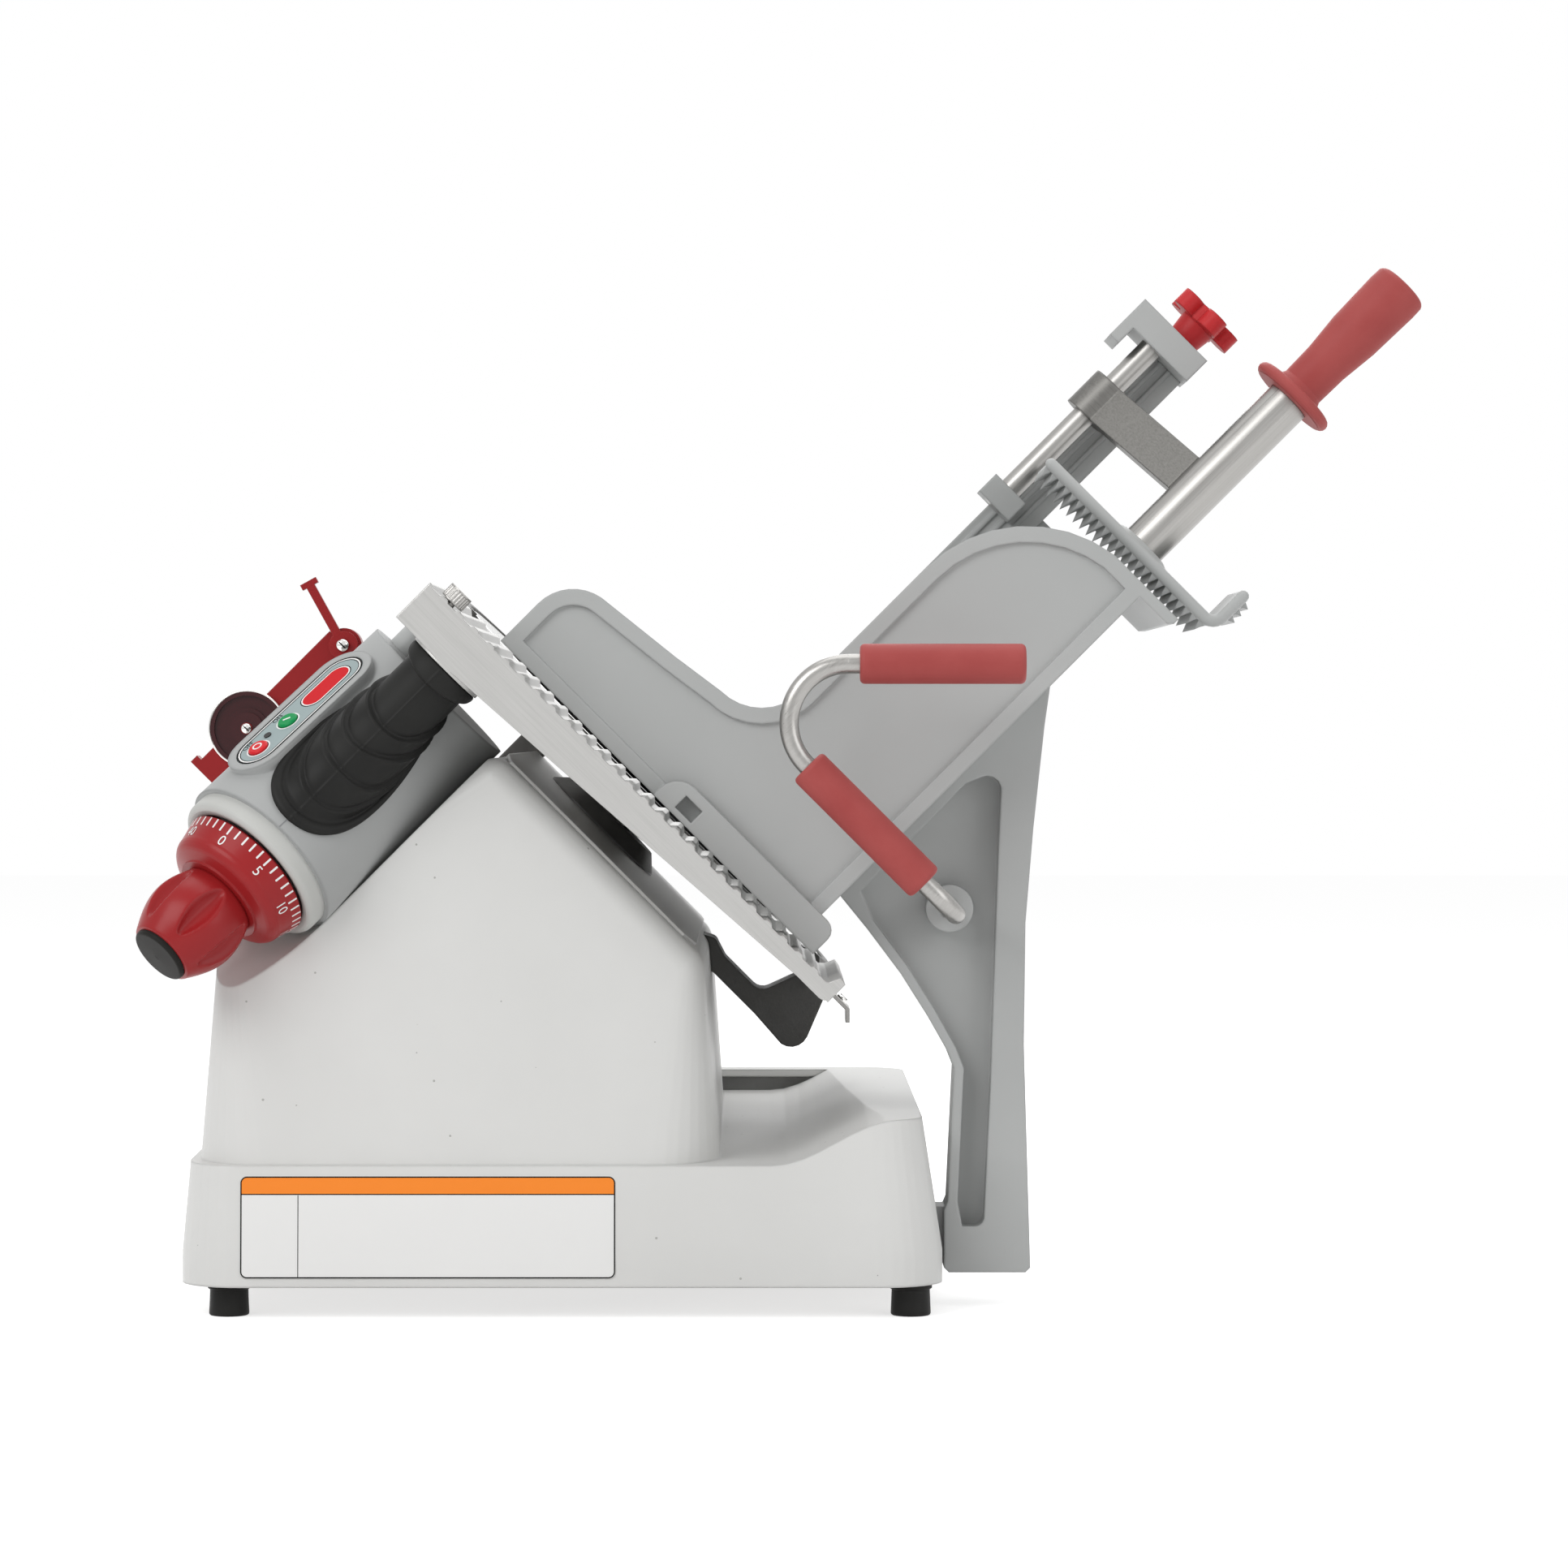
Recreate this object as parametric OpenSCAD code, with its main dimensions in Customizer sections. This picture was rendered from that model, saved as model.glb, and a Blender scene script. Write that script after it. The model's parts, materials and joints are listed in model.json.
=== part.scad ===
// Gravity-feed food slicer, millimetres, Z up, X to the operator's right, Y away from the operator.
// The knife and the gauge plate share a plane that slopes down to the right at 45 degrees.
// Pieces on that slope are drawn in slope coordinates: t runs down the plate, Y is shared,
// and n stands square to the plate, up and to the right.

/* [Base] */
// Left end of the base, from the knife post's datum
base_left = -362; // [-366:1:-356]
// Right end of the base
base_right = 112; // [108:1:114]
// Front face of the base
base_front = -250; // [-254:1:-248]
// Back face of the base
base_back = 240; // [238:1:250]
// Height of the deck rim above the table
deck_top = 123; // [120:1:126]
// Height of the scooped deck at the front edge
deck_low = 95; // [92:1:98]
// Wall of the base casting
wall = 5; // [4:0.5:6]
// Diameter of a foot
foot_d = 25; // [20:1:30]
// Height of a foot
foot_h = 20; // [18:1:22]

/* [Knife] */
// Diameter of the knife
knife_d = 330; // [322:1:332]
// Place of the knife centre down the slope
knife_t = -288; // [-290:1:-286]
// Place of the knife centre in depth
knife_y = 60; // [56:1:62]
// Diameter of the knife shaft
shaft_d = 20; // [18:1:22]

/* [Gauge plate] */
// Upper end of the gauge plate down the slope
gauge_t0 = -464; // [-466:1:-462]
// Length of the gauge plate
gauge_len = 352; // [348:1:354]
// Front edge of the gauge plate
gauge_front = -285; // [-288:1:-282]
// Spacing of the ribs on the gauge plate
rib_pitch = 13.3; // [11:0.1:15]
// Diameter of the sliding arm under the gauge plate
arm_d = 22; // [20:1:24]

/* [Index dial] */
// Diameter of the index housing
housing_d = 110; // [106:1:112]
// Tilt of the index dial towards the operator
index_tilt = 28; // [24:1:30]
// Diameter of the fixed dial ring
ring_d = 104; // [100:1:104]
// Number of flutes on the index knob
knob_flutes = 8; // [6:1:10]

/* [Carriage] */
// Front face of the near fence
fence_y = -218; // [-222:1:-214]
// Underside of the tray floor, down the slope
floor_t = -150; // [-152:1:-148]
// Upper end of the tray, square to the plate
tray_end = 489; // [486:1:490]
// Thickness of the tray casting
tray_wall = 6; // [5:0.5:7]
// Diameter of the carriage rod
rod_d = 20; // [18:1:22]
// Diameter of the handle tube
handle_d = 12; // [11:0.5:13]
// Length of a handle grip
grip_len = 101; // [96:1:102]

/* [Pusher] */
// Diameter of the pusher tube
tube_d = 30; // [28:1:32]
// Diameter of the rod that the pusher turns on
pivot_d = 16; // [15:1:17]
// Spacing of the teeth on the pusher plate
tooth_pitch = 6; // [5:0.5:8]

/* [Hidden] */
$fn = 64;

// Paint and material colours
cast_white = "#e4e4e1";
cast_grey = "#9b9ea0";
housing_grey = "#a3a6a8";
red = "#a3262a";
black = "#262626";
steel = "#b9b8b4";
bright = "#d6d6d3";
dark_cast = "#4a4a49";

// The origin lies under the middle of the whole object
origin_x = 18.74;
origin_y = -30.56;

// Running clearance on a radius, and the gap left between bodies
fit = 0.05;
gap = 0.4;
eps = 0.01;

module world() { translate([-origin_x, -origin_y, 0]) children(); }
module slope() { world() rotate([0, 45, 0]) children(); }

// Extrudes a profile drawn in (X, Z), or in (t, n) on the slope, from y0 to y1
module along_y(y0, y1) {
    translate([0, y1, 0]) rotate([90, 0, 0]) linear_extrude(y1 - y0) children();
}

// Straight round bar along Y
module bar_y(x, z, y0, y1, d) {
    along_y(y0, y1) translate([x, z]) circle(d = d);
}

module rounded_rect(x0, x1, y0, y1, r) {
    translate([x0 + r, y0]) square([x1 - x0 - 2 * r, y1 - y0]);
    translate([x0, y0 + r]) square([x1 - x0, y1 - y0 - 2 * r]);
    for (x = [x0 + r, x1 - r], y = [y0 + r, y1 - r]) translate([x, y]) circle(r);
}

// Points of an arc, for outlines
function arc(cx, cy, r, a0, a1, steps = 8) =
    [for (i = [0:steps]) let (a = a0 + (a1 - a0) * i / steps) [cx + r * cos(a), cy + r * sin(a)]];

// Base casting

skirt_z0 = foot_h;
skirt_lean = 8;
skirt_r = 40;
pod_face_n = 131.5;
pod_left = base_left + 9;
pod_right = -26;
pod_front = base_front + 6;
pod_back = base_back - 10;
pod_z0 = 80;
pod_plan_r = 45;
pod_edge_r = 16;
// Middles of the pod's rounded top edges in (X, Z): left shoulder, crest, foot of the sloping face
pod_shoulder = [-322, 226];
pod_crest = [-167, 330.3];
pod_toe = [-52, 215.3];
deck_rise_deg = 1.7;
deck_curve_x0 = 5;
deck_curve_x1 = 85;
deck_back = 206;

module skirt_form(inset) {
    hull() {
        translate([0, 0, inset > 0 ? 0 : skirt_z0]) linear_extrude(20)
            rounded_rect(base_left + inset, base_right - inset,
                         base_front + inset, base_back - inset, skirt_r - inset, $fn = 32);
        translate([0, 0, deck_top - inset - 1]) linear_extrude(1)
            rounded_rect(base_left + skirt_lean + inset, base_right - 1.6 * skirt_lean - inset,
                         base_front + 3 + inset, base_back - skirt_lean - inset,
                         skirt_r - 8 - inset, $fn = 32);
    }
}

module pod_form(inset) {
    hull() {
        translate([0, 0, pod_z0]) linear_extrude(1)
            rounded_rect(pod_left + inset, pod_right - inset, pod_front + inset, pod_back - inset,
                         pod_plan_r - inset, $fn = 32);
        for (p = [pod_shoulder, pod_crest, pod_toe], y = [pod_front + pod_edge_r, pod_back - pod_edge_r])
            translate([p.x, y, p.y]) sphere(pod_edge_r - inset, $fn = 32);
    }
}

// Height of the scooped deck across X, an S-curve from the low deck up to the rim
function deck_z(x) =
    let (u = (x - deck_curve_x0) / (deck_curve_x1 - deck_curve_x0))
    deck_low + (deck_top - deck_low) * (1 - cos(180 * min(1, max(0, u)))) / 2;

// The space above the deck, dropped by depth for the underside of the same wall
module deck_scoop(depth) {
    over = 60;
    scoop = concat(
        [[base_left - over, deck_top + over], [base_left - over, deck_low]],
        [for (i = [0:8]) let (x = deck_curve_x0 + (deck_curve_x1 - deck_curve_x0) * i / 8) [x, deck_z(x)]],
        [[deck_curve_x1, deck_top + over]]);
    translate([0, base_front, deck_low - depth]) rotate([deck_rise_deg, 0, 0])
        translate([0, -base_front, -deck_low])
            along_y(base_front - over, deck_back) polygon(scoop);
}

foot_x = [-332, 92];
foot_y = [-220, 210];
slot_z = [26, 66];
slot_y = [-186, 194];
shaft_hole_d = 84;
boss_r = 14;

module base_housing() {
    color(cast_white) world() difference() {
        union() {
            difference() { skirt_form(0); deck_scoop(0); }
            pod_form(0);
        }
        difference() {
            union() {
                difference() { skirt_form(wall); deck_scoop(wall); }
                pod_form(wall);
            }
            // Corner bosses that the bottom cover screws to
            for (x = foot_x, y = foot_y) translate([x, y, skirt_z0 + cover_t])
                cylinder(h = 200, r = boss_r);
            rotate([0, 45, 0]) housing_trough(housing_r + wall);
        }
        rotate([0, 45, 0]) housing_trough(housing_r + 0.1);
        // Slot in the right wall that the carriage leg's foot runs in
        translate([base_right - 40, slot_y[0], slot_z[0]])
            cube([60, slot_y[1] - slot_y[0], slot_z[1] - slot_z[0]]);
        // Opening in the sloping face for the knife shaft's housing
        rotate([0, 45, 0]) translate([knife_t, knife_y, pod_face_n - 30])
            cylinder(h = 60, d = shaft_hole_d);
        // Hole in the back wall for the lead's gland
        translate([gland_x, base_back - 40, gland_z]) rotate([-90, 0, 0]) cylinder(h = 60, d = gland_d);
    }
}

cover_t = 3;
cover_inset = wall + 0.7;
gland_x = -300;
gland_z = 31;
gland_d = 14;

module bottom_cover() {
    color(steel) world() translate([0, 0, skirt_z0]) linear_extrude(cover_t)
        rounded_rect(base_left + cover_inset, base_right - cover_inset,
                     base_front + cover_inset, base_back - cover_inset, skirt_r - cover_inset);
}

module foot() {
    r = foot_d / 2;
    rotate_extrude() polygon(concat(
        [[0, 0], [r - 1.5, 0]], arc(r - 1.5, 1.5, 1.5, -90, 0, 4),
        [[r - 0.6, foot_h - 4], [r + 0.8, foot_h - 3], [r + 0.8, foot_h], [0, foot_h]]));
}

module feet() {
    color(black) world() for (x = foot_x, y = foot_y) translate([x, y, 0]) foot();
}

module cord_gland() {
    color(black) world() translate([gland_x, base_back - wall, gland_z]) rotate([-90, 0, 0])
        difference() {
            union() {
                translate([0, 0, -12]) cylinder(h = 12 + wall, d = gland_d);
                translate([0, 0, wall]) cylinder(h = 5, d = gland_d + 8, $fn = 6);
            }
            translate([0, 0, -20]) cylinder(h = 60, d = 9);
        }
}

// Index housing, dial and control panel

index_t = -420;
index_y = -245;
index_n = -18;
housing_r = housing_d / 2;
housing_top = 130;
end_wall = 6;
panel_angle = 56;
panel_r = housing_r + 2.5;
panel_z = 75;
panel_len = 106;
panel_w = 31;
stop_at = -38;
start_at = -11;
lamp_at = -26;
button_d = 13;
button_travel = 1.5;
index_shaft_d = 14;

// Frame of the index axis on the slope: z runs up through the housing, the knob is at minus z
module index_axis() { translate([index_t, index_y, index_n]) rotate([-index_tilt, 0, 0]) children(); }

// Frame of the control panel: y runs up the panel, z stands out of it
module panel_frame() {
    index_axis() rotate([0, 0, -panel_angle])
        translate([0, -panel_r, panel_z]) rotate([90, 0, 0]) children();
}

module stadium(len, w) {
    square([w, len - w], center = true);
    for (s = [-1, 1]) translate([0, s * (len - w) / 2]) circle(d = w);
}

module housing_form(r, z0, top) {
    intersection() {
        index_axis() translate([0, 0, z0]) cylinder(h = 260, r = r);
        translate([index_t - 150, index_y - 150, top - 400]) cube([300, 500, 400]);
    }
}

// Trough in the pod that the index housing lies in, open to the front
module housing_trough(r) {
    index_axis() translate([0, 0, -130]) {
        cylinder(h = 400, r = r);
        translate([-r, -200, 0]) cube([2 * r, 200, 400]);
    }
}

module index_housing() {
    color(housing_grey) slope() difference() {
        union() {
            difference() {
                union() {
                    housing_form(housing_r, 0, housing_top);
                    panel_frame() translate([0, 0, -20]) linear_extrude(21)
                        stadium(panel_len + 12, panel_w + 12);
                }
                difference() {
                    housing_form(housing_r - wall, end_wall, housing_top - wall);
                    panel_frame() translate([0, 0, -8]) linear_extrude(9)
                        stadium(panel_len + 12, panel_w + 12);
                }
            }
            // Boss that carries the bush of the gauge arm
            translate([arm_t, arm_y, bush_n0]) cylinder(h = bush_len, r = bush_d / 2 + 5);
        }
        translate([arm_t, arm_y, bush_n0 - 20]) cylinder(h = 200, d = bush_d);
        translate([pin_t, pin_y, pin_n0 - gauge_stroke - 1]) cylinder(h = 60, d = pin_d + 2 * gap);
        index_axis() translate([0, 0, -1]) cylinder(h = 10, d = index_shaft_d + 2 * fit);
        panel_frame() {
            linear_extrude(2) stadium(panel_len + 0.4, panel_w + 0.4);
            for (y = [stop_at, start_at]) translate([0, y, -30]) cylinder(h = 40, d = button_d + 2 * gap);
            translate([-4, lamp_at, -30]) cylinder(h = 40, d = 5);
            translate([-13, -58, -25]) cube([26, 62, 17]);
        }
    }
}

module panel_plate() {
    color("#7f97a3") slope() panel_frame() difference() {
        linear_extrude(0.9) stadium(panel_len, panel_w);
        for (y = [stop_at, start_at]) translate([0, y, -1]) cylinder(h = 4, d = button_d + 2 * gap);
        translate([-4, lamp_at, -1]) cylinder(h = 4, d = 5);
    }
}

module run_lamp() {
    color("#3b3b3b") slope() panel_frame() translate([-4, lamp_at, -8]) cylinder(h = 9.6, d = 5);
}

module switch_block() {
    color(black) slope() panel_frame() difference() {
        translate([-11, -56, -20]) cube([22, 58, 12]);
        translate([-7, -52, -21]) cube([14, 50, 8]);
    }
}

module push_button(y) {
    slope() panel_frame() translate([0, y, -6]) {
        cylinder(h = 8, d = button_d);
        translate([0, 0, 8]) cylinder(h = 0.8, d1 = button_d, d2 = button_d - 2);
    }
}

module start_button() { color("#12964f") push_button(start_at); }
module stop_button() { color("#d83a3c") push_button(stop_at); }

module dial_ring() {
    color("#c4c5c0") slope() index_axis() rotate_extrude() {
        r = ring_d / 2;
        polygon(concat([[r - 8, 0], [r - 8, -11]], arc(r - 4, -8, 4, -90, 0, 5), [[r, 0]]));
    }
}

drum_z0 = -12;
drum_z1 = -36;
knob_end = -90;

module dial_drum() {
    color(red) slope() index_axis() rotate_extrude() {
        r0 = ring_d / 2 - 6;
        r1 = r0 - 4;
        bore = index_shaft_d / 2;
        polygon(concat([[bore, drum_z0], [r0 - 3, drum_z0], [r0 - 0.4, drum_z0 - 2], [r1, drum_z1 + 8]],
                       arc(r1 - 8, drum_z1 + 8, 8, 0, -70, 5),
                       [[30, drum_z1 - 1.5], [30, drum_z1 - 3], [bore, drum_z1 - 3]]));
    }
}

module index_knob() {
    neck = 29;
    belly = 34;
    nose = 21;
    z0 = drum_z1 - 3;
    color(red) slope() index_axis() difference() {
        rotate_extrude() polygon(concat(
            [[index_shaft_d / 2, z0], [neck, z0]],
            [for (i = [1:9]) let (u = i / 9)
                [neck + (belly - neck) * sin(180 * u) - (neck - nose) * u * u, z0 + (knob_end - z0) * u]],
            [[index_shaft_d / 2, knob_end]]));
        for (i = [0:knob_flutes - 1]) rotate([0, 0, (i + 0.5) * 360 / knob_flutes])
            translate([belly + 3.5, 0, z0 - 15]) rotate([0, 199, 0]) {
                cylinder(h = 60, r = 8);
                sphere(8);
            }
    }
}

module knob_cap() {
    color(black) slope() index_axis() rotate_extrude()
        polygon(concat([[0, knob_end], [19, knob_end], [19, knob_end - 1.5]],
                       arc(17, knob_end - 1.5, 2, 0, -90, 4), [[0, knob_end - 4]]));
}

module index_shaft() {
    color(steel) slope() index_axis() {
        translate([0, 0, knob_end]) cylinder(h = 20 - knob_end, d = index_shaft_d);
        // Scroll plate that drives the gauge arm
        translate([0, 0, 8]) difference() {
            cylinder(h = 10, r = 32);
            cylinder(h = 30, d = index_shaft_d, center = true);
            for (a = [0:30:270]) rotate([0, 0, a]) translate([14 + a / 24, 0, 6]) cylinder(h = 10, d = 9);
        }
    }
}

// Gauge plate, its arm and boot

gauge_t1 = gauge_t0 + gauge_len;
gauge_top = 177.5;
plate_bottom = 168;
rib_h = 3;
gauge_back = -40;
knife_gap = 3.5;
arm_t = -422;
arm_y = -259;
arm_n0 = 31;
bush_n0 = 32;
bush_len = 30;
bush_d = 30;
boss_n = 146;
pin_t = -455;
pin_y = -150;
pin_d = 20;
pin_n0 = 118;
gauge_stroke = 14;
knurl_t = -447;

// Wavy section of the ribbed plate in (t, n)
module ribbed_section() {
    count = floor(gauge_len / rib_pitch);
    wave = [0.12, 0.38, 0.62, 0.88];
    polygon(concat(
        [[gauge_t0, plate_bottom], [gauge_t0, gauge_top]],
        [for (i = [0:count - 1], w = wave)
            [gauge_t0 + (i + w) * rib_pitch, gauge_top - (w > 0.3 && w < 0.7 ? rib_h : 0)]],
        [[gauge_t1, gauge_top], [gauge_t1, plate_bottom]]));
}

module gauge_plate() {
    color(bright) slope() difference() {
        union() {
            difference() {
                along_y(gauge_front, gauge_back) ribbed_section();
                translate([knife_t, knife_y, 0]) cylinder(h = 400, r = knife_d / 2 + knife_gap);
            }
            // Front band, deep at the arm and shallow at the lower end, with the lip at its foot
            along_y(gauge_front, gauge_front + 8) polygon(concat(
                [[gauge_t0, 148], [gauge_t0 + 45, 147.5], [-330, 153], [-220, 160.5], [gauge_t1 - 24, 166]],
                arc(gauge_t1 - 6, 172, 6, -90, 0, 4),
                [[gauge_t1, 183], [gauge_t1 - 5, 184], [gauge_t1 - 6, 176], [gauge_t0, 176]]));
            along_y(gauge_front, gauge_back) polygon([
                [gauge_t1 - 8, plate_bottom], [gauge_t1, plate_bottom + 4],
                [gauge_t1, 183], [gauge_t1 - 5, 184], [gauge_t1 - 8, gauge_top]]);
            // Stiff upper end and the boss over the arm
            translate([gauge_t0, gauge_front, 150]) cube([10, gauge_back - gauge_front, 24]);
            translate([arm_t, arm_y, boss_n]) cylinder(h = gauge_top - boss_n - rib_h - 2, r = 26);
        }
        translate([knurl_t, knurl_y, gauge_top - 12]) cylinder(h = 40, d = 6 + 2 * fit);
        translate([arm_t, arm_y, boss_n - eps]) cylinder(h = 14, d = arm_d);
        guide_pin();
    }
}

knurl_y = gauge_front + 14;
knurl_d = 16.4;

module gauge_arm() {
    color(steel) slope() translate([arm_t, arm_y, 0]) {
        translate([0, 0, arm_n0]) cylinder(h = boss_n + 14 - arm_n0, d = arm_d);
        // Follower pin over the scroll plate
        translate([0, 0, arm_n0 - 3]) cylinder(h = 3, d = 8);
    }
}

module gauge_bush() {
    color("#b08d57") slope() translate([arm_t, arm_y, bush_n0]) difference() {
        cylinder(h = bush_len, d = bush_d);
        translate([0, 0, -1]) cylinder(h = bush_len + 2, d = arm_d + 2 * fit);
    }
}

// Pin that keeps the plate square as it slides
module guide_pin() {
    translate([pin_t, pin_y, pin_n0]) cylinder(h = plate_bottom - pin_n0, d = pin_d);
}

module gauge_pin() {
    color(cast_grey) slope() guide_pin();
}

boot_r = 27;
boot_fold = 2.4;
boot_folds = 6;

// Ribbed rubber boot: a folded tube round the arm, cut to sit on the tilted housing
module gauge_boot() {
    n0 = 16;
    n1 = boss_n - 6;
    function fold_r(u) = boot_r + 3 * (1 - u) * (1 - u) - 5 * u
        + boot_fold * sin(360 * boot_folds * u - 90) * (0.4 + 0.6 * u);
    steps = boot_folds * 6;
    outer = [for (i = [0:steps]) let (u = i / steps) [fold_r(u), n0 + (n1 - n0) * u]];
    color(black) slope() difference() {
        union() {
            translate([arm_t, arm_y, 0]) rotate_extrude() polygon(concat(
                [[bush_d / 2 + 6, n0]], outer,
                [[25.5, n1], [25.5, boss_n - gap], [arm_d / 2 + gap, boss_n - gap],
                 [arm_d / 2 + gap, n1 - 4], [bush_d / 2 + 3, n1 - 12], [bush_d / 2 + 6, n1 - 50]]));
            // Lip of the boot on the housing
            intersection() {
                housing_form(housing_r + 4, 10, 125);
                translate([arm_t, arm_y, n0 - 10]) difference() {
                    cylinder(h = 120, r = boot_r + 5);
                    translate([0, 0, -1]) cylinder(h = 130, r = boot_r - 2);
                }
                translate([arm_t - 100, arm_y - 100, 0]) cube([200, 100, 200]);
            }
        }
        housing_form(housing_r + 0.2, -20, 400);
        panel_frame() translate([0, 0, -20]) linear_extrude(23) stadium(panel_len + 13, panel_w + 13);
    }
}

module knurled_knob() {
    color(steel) slope() translate([knurl_t, knurl_y, gauge_top + gap]) {
        difference() {
            cylinder(h = 9, d = knurl_d);
            for (a = [0:15:345]) rotate([0, 0, a])
                translate([knurl_d / 2 + 0.4, 0, 1]) cylinder(h = 7, r = 0.9);
        }
        translate([0, 0, -10]) cylinder(h = 10, d = 6);
    }
}

// Knife, its shaft and the belt drive

knife_r = knife_d / 2;
shaft_r = shaft_d / 2;
bearing_r = 21;
cone_top = 144.5;
knife_seat = 172;
knife_edge = 176;
cover_n = 177;
pulley_n = [96, 116];
pulley_r = 70;
motor_y = -75;
motor_r = 62;
motor_n = [-70, 84];
motor_shaft_r = 7;
motor_pulley_r = 20;
bracket_t = 8;
belt_t = 3;

module on_knife_axis() { slope() translate([knife_t, knife_y, 0]) children(); }
module on_motor_axis() { slope() translate([knife_t, motor_y, 0]) children(); }

module bearing_housing() {
    foot_r = 47;
    top_r = 36.5;
    spigot = shaft_hole_d / 2 - 0.2;
    color(dark_cast) on_knife_axis() rotate_extrude() polygon([
        [bearing_r, 119], [spigot, 119], [spigot, pod_face_n], [foot_r, pod_face_n], [foot_r, pod_face_n + 3],
        [top_r, cone_top], [14, cone_top], [14, cone_top - 1], [bearing_r, cone_top - 1]]);
}

module shaft_bearings() {
    color(steel) on_knife_axis() for (n = [119.5, 131.7]) translate([0, 0, n]) difference() {
        cylinder(h = 11.7, r = bearing_r);
        translate([0, 0, -1]) cylinder(h = 14, r = shaft_r + fit);
    }
}

module knife_shaft() {
    color(steel) on_knife_axis() translate([0, 0, pulley_n[0] - 3])
        cylinder(h = knife_seat - pulley_n[0] + 6, r = shaft_r);
}

module knife_hub() {
    color(steel) on_knife_axis() rotate_extrude() polygon([
        [shaft_r, 146], [26, 146], [26, 150], [21, 153], [26, 156], [26, 161], [23, 161], [23, 165],
        [26, 165], [26, knife_seat], [shaft_r, knife_seat]]);
}

module knife() {
    color(bright) on_knife_axis() rotate_extrude($fn = 128) polygon([
        [shaft_r, knife_seat], [118, knife_seat], [145, knife_seat - 1], [knife_r, knife_edge - 0.3],
        [knife_r - 0.3, knife_edge], [145, knife_edge - 1.8],
        [118, knife_seat + 3], [shaft_r, knife_seat + 3]]);
}

module knife_cover() {
    cover_r = 130;
    cover_t = 2.5;
    color(bright) on_knife_axis() {
        translate([0, 0, cover_n]) cylinder(h = cover_t, r = cover_r);
        translate([-25, cover_r - 12, cover_n]) cube([50, knife_r + 12 - cover_r + 12, cover_t]);
    }
}

module knife_pulley() {
    color("#8d8f90") on_knife_axis() difference() {
        rotate_extrude() polygon([
            [shaft_r, pulley_n[0]], [22, pulley_n[0]], [22, 101], [64, 101], [64, pulley_n[0]],
            [pulley_r, pulley_n[0]], [pulley_r, pulley_n[1]], [64, pulley_n[1]], [64, 109], [22, 109],
            [22, pulley_n[1]], [shaft_r, pulley_n[1]]]);
        for (a = [0:60:300]) rotate([0, 0, a]) translate([43, 0, 90]) cylinder(h = 40, r = 12);
    }
}

module motor_body() {
    color("#6f7375") on_motor_axis() difference() {
        rotate_extrude() polygon(concat(
            [[0, motor_n[0]], [30, motor_n[0]]], arc(motor_r - 14, motor_n[0] + 16, 14, -80, 0, 5),
            [[motor_r, motor_n[1] - 16]], arc(motor_r - 10, motor_n[1] - 12, 10, 10, 90, 4),
            [[40, motor_n[1] - 2], [40, motor_n[1]], [0, motor_n[1]]]));
        translate([0, 0, motor_n[0] + 14]) cylinder(h = 125, r = 43);
        translate([0, 0, motor_n[0] + 5]) cylinder(h = 200, r = motor_shaft_r + fit);
        for (a = [0:20:340]) rotate([0, 0, a])
            translate([motor_r + 1, 0, motor_n[0] + 25]) cylinder(h = 105, r = 3);
    }
}

module motor_rotor() {
    color(steel) on_motor_axis() {
        translate([0, 0, motor_n[0] + 8]) cylinder(h = pulley_n[1] - motor_n[0] - 8, r = motor_shaft_r);
        translate([0, 0, motor_n[0] + 20]) difference() {
            cylinder(h = 110, r = 41);
            translate([0, 0, -1]) cylinder(h = 112, r = motor_shaft_r);
        }
    }
}

module motor_pulley() {
    color("#8d8f90") on_motor_axis() translate([0, 0, pulley_n[0] + 1]) difference() {
        union() {
            cylinder(h = pulley_n[1] - pulley_n[0] - 2, r = motor_pulley_r);
            cylinder(h = 1, r = motor_pulley_r + 4);
        }
        translate([0, 0, -1]) cylinder(h = 40, r = motor_shaft_r);
    }
}

bracket_posts = [[-340, -125], [-215, -125], [-340, 165], [-215, 165]];

module motor_bracket() {
    color(steel) slope() {
        translate([0, 0, motor_n[1]]) linear_extrude(bracket_t) difference() {
            rounded_rect(-352, -203, -150, 178, 12);
            translate([knife_t, motor_y]) circle(r = motor_shaft_r + 12);
            translate([knife_t, knife_y]) circle(r = 40);
        }
        for (p = bracket_posts) translate([p.x, p.y, motor_n[1] + bracket_t])
            cylinder(h = pod_face_n - wall - 0.3 - motor_n[1] - bracket_t, r = 8);
    }
}

// Outline of a belt round the two pulleys, the small one at minus y
module belt_outline(r1, r2, d) {
    hull() {
        circle(r1);
        translate([0, -d]) circle(r2);
    }
}

module drive_belt() {
    span = knife_y - motor_y;
    color(black) on_knife_axis() translate([0, 0, pulley_n[0] + 3])
        linear_extrude(pulley_n[1] - pulley_n[0] - 6) difference() {
            belt_outline(pulley_r + gap + belt_t, motor_pulley_r + gap + belt_t, span);
            belt_outline(pulley_r + gap, motor_pulley_r + gap, span);
        }
}

// Guard round the idle side of the knife

guard_r = [knife_r + 4, knife_r + 13];
guard_n = [158, cover_n];
guard_arm_y = [36, 84];
guard_shelf = 163;

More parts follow.
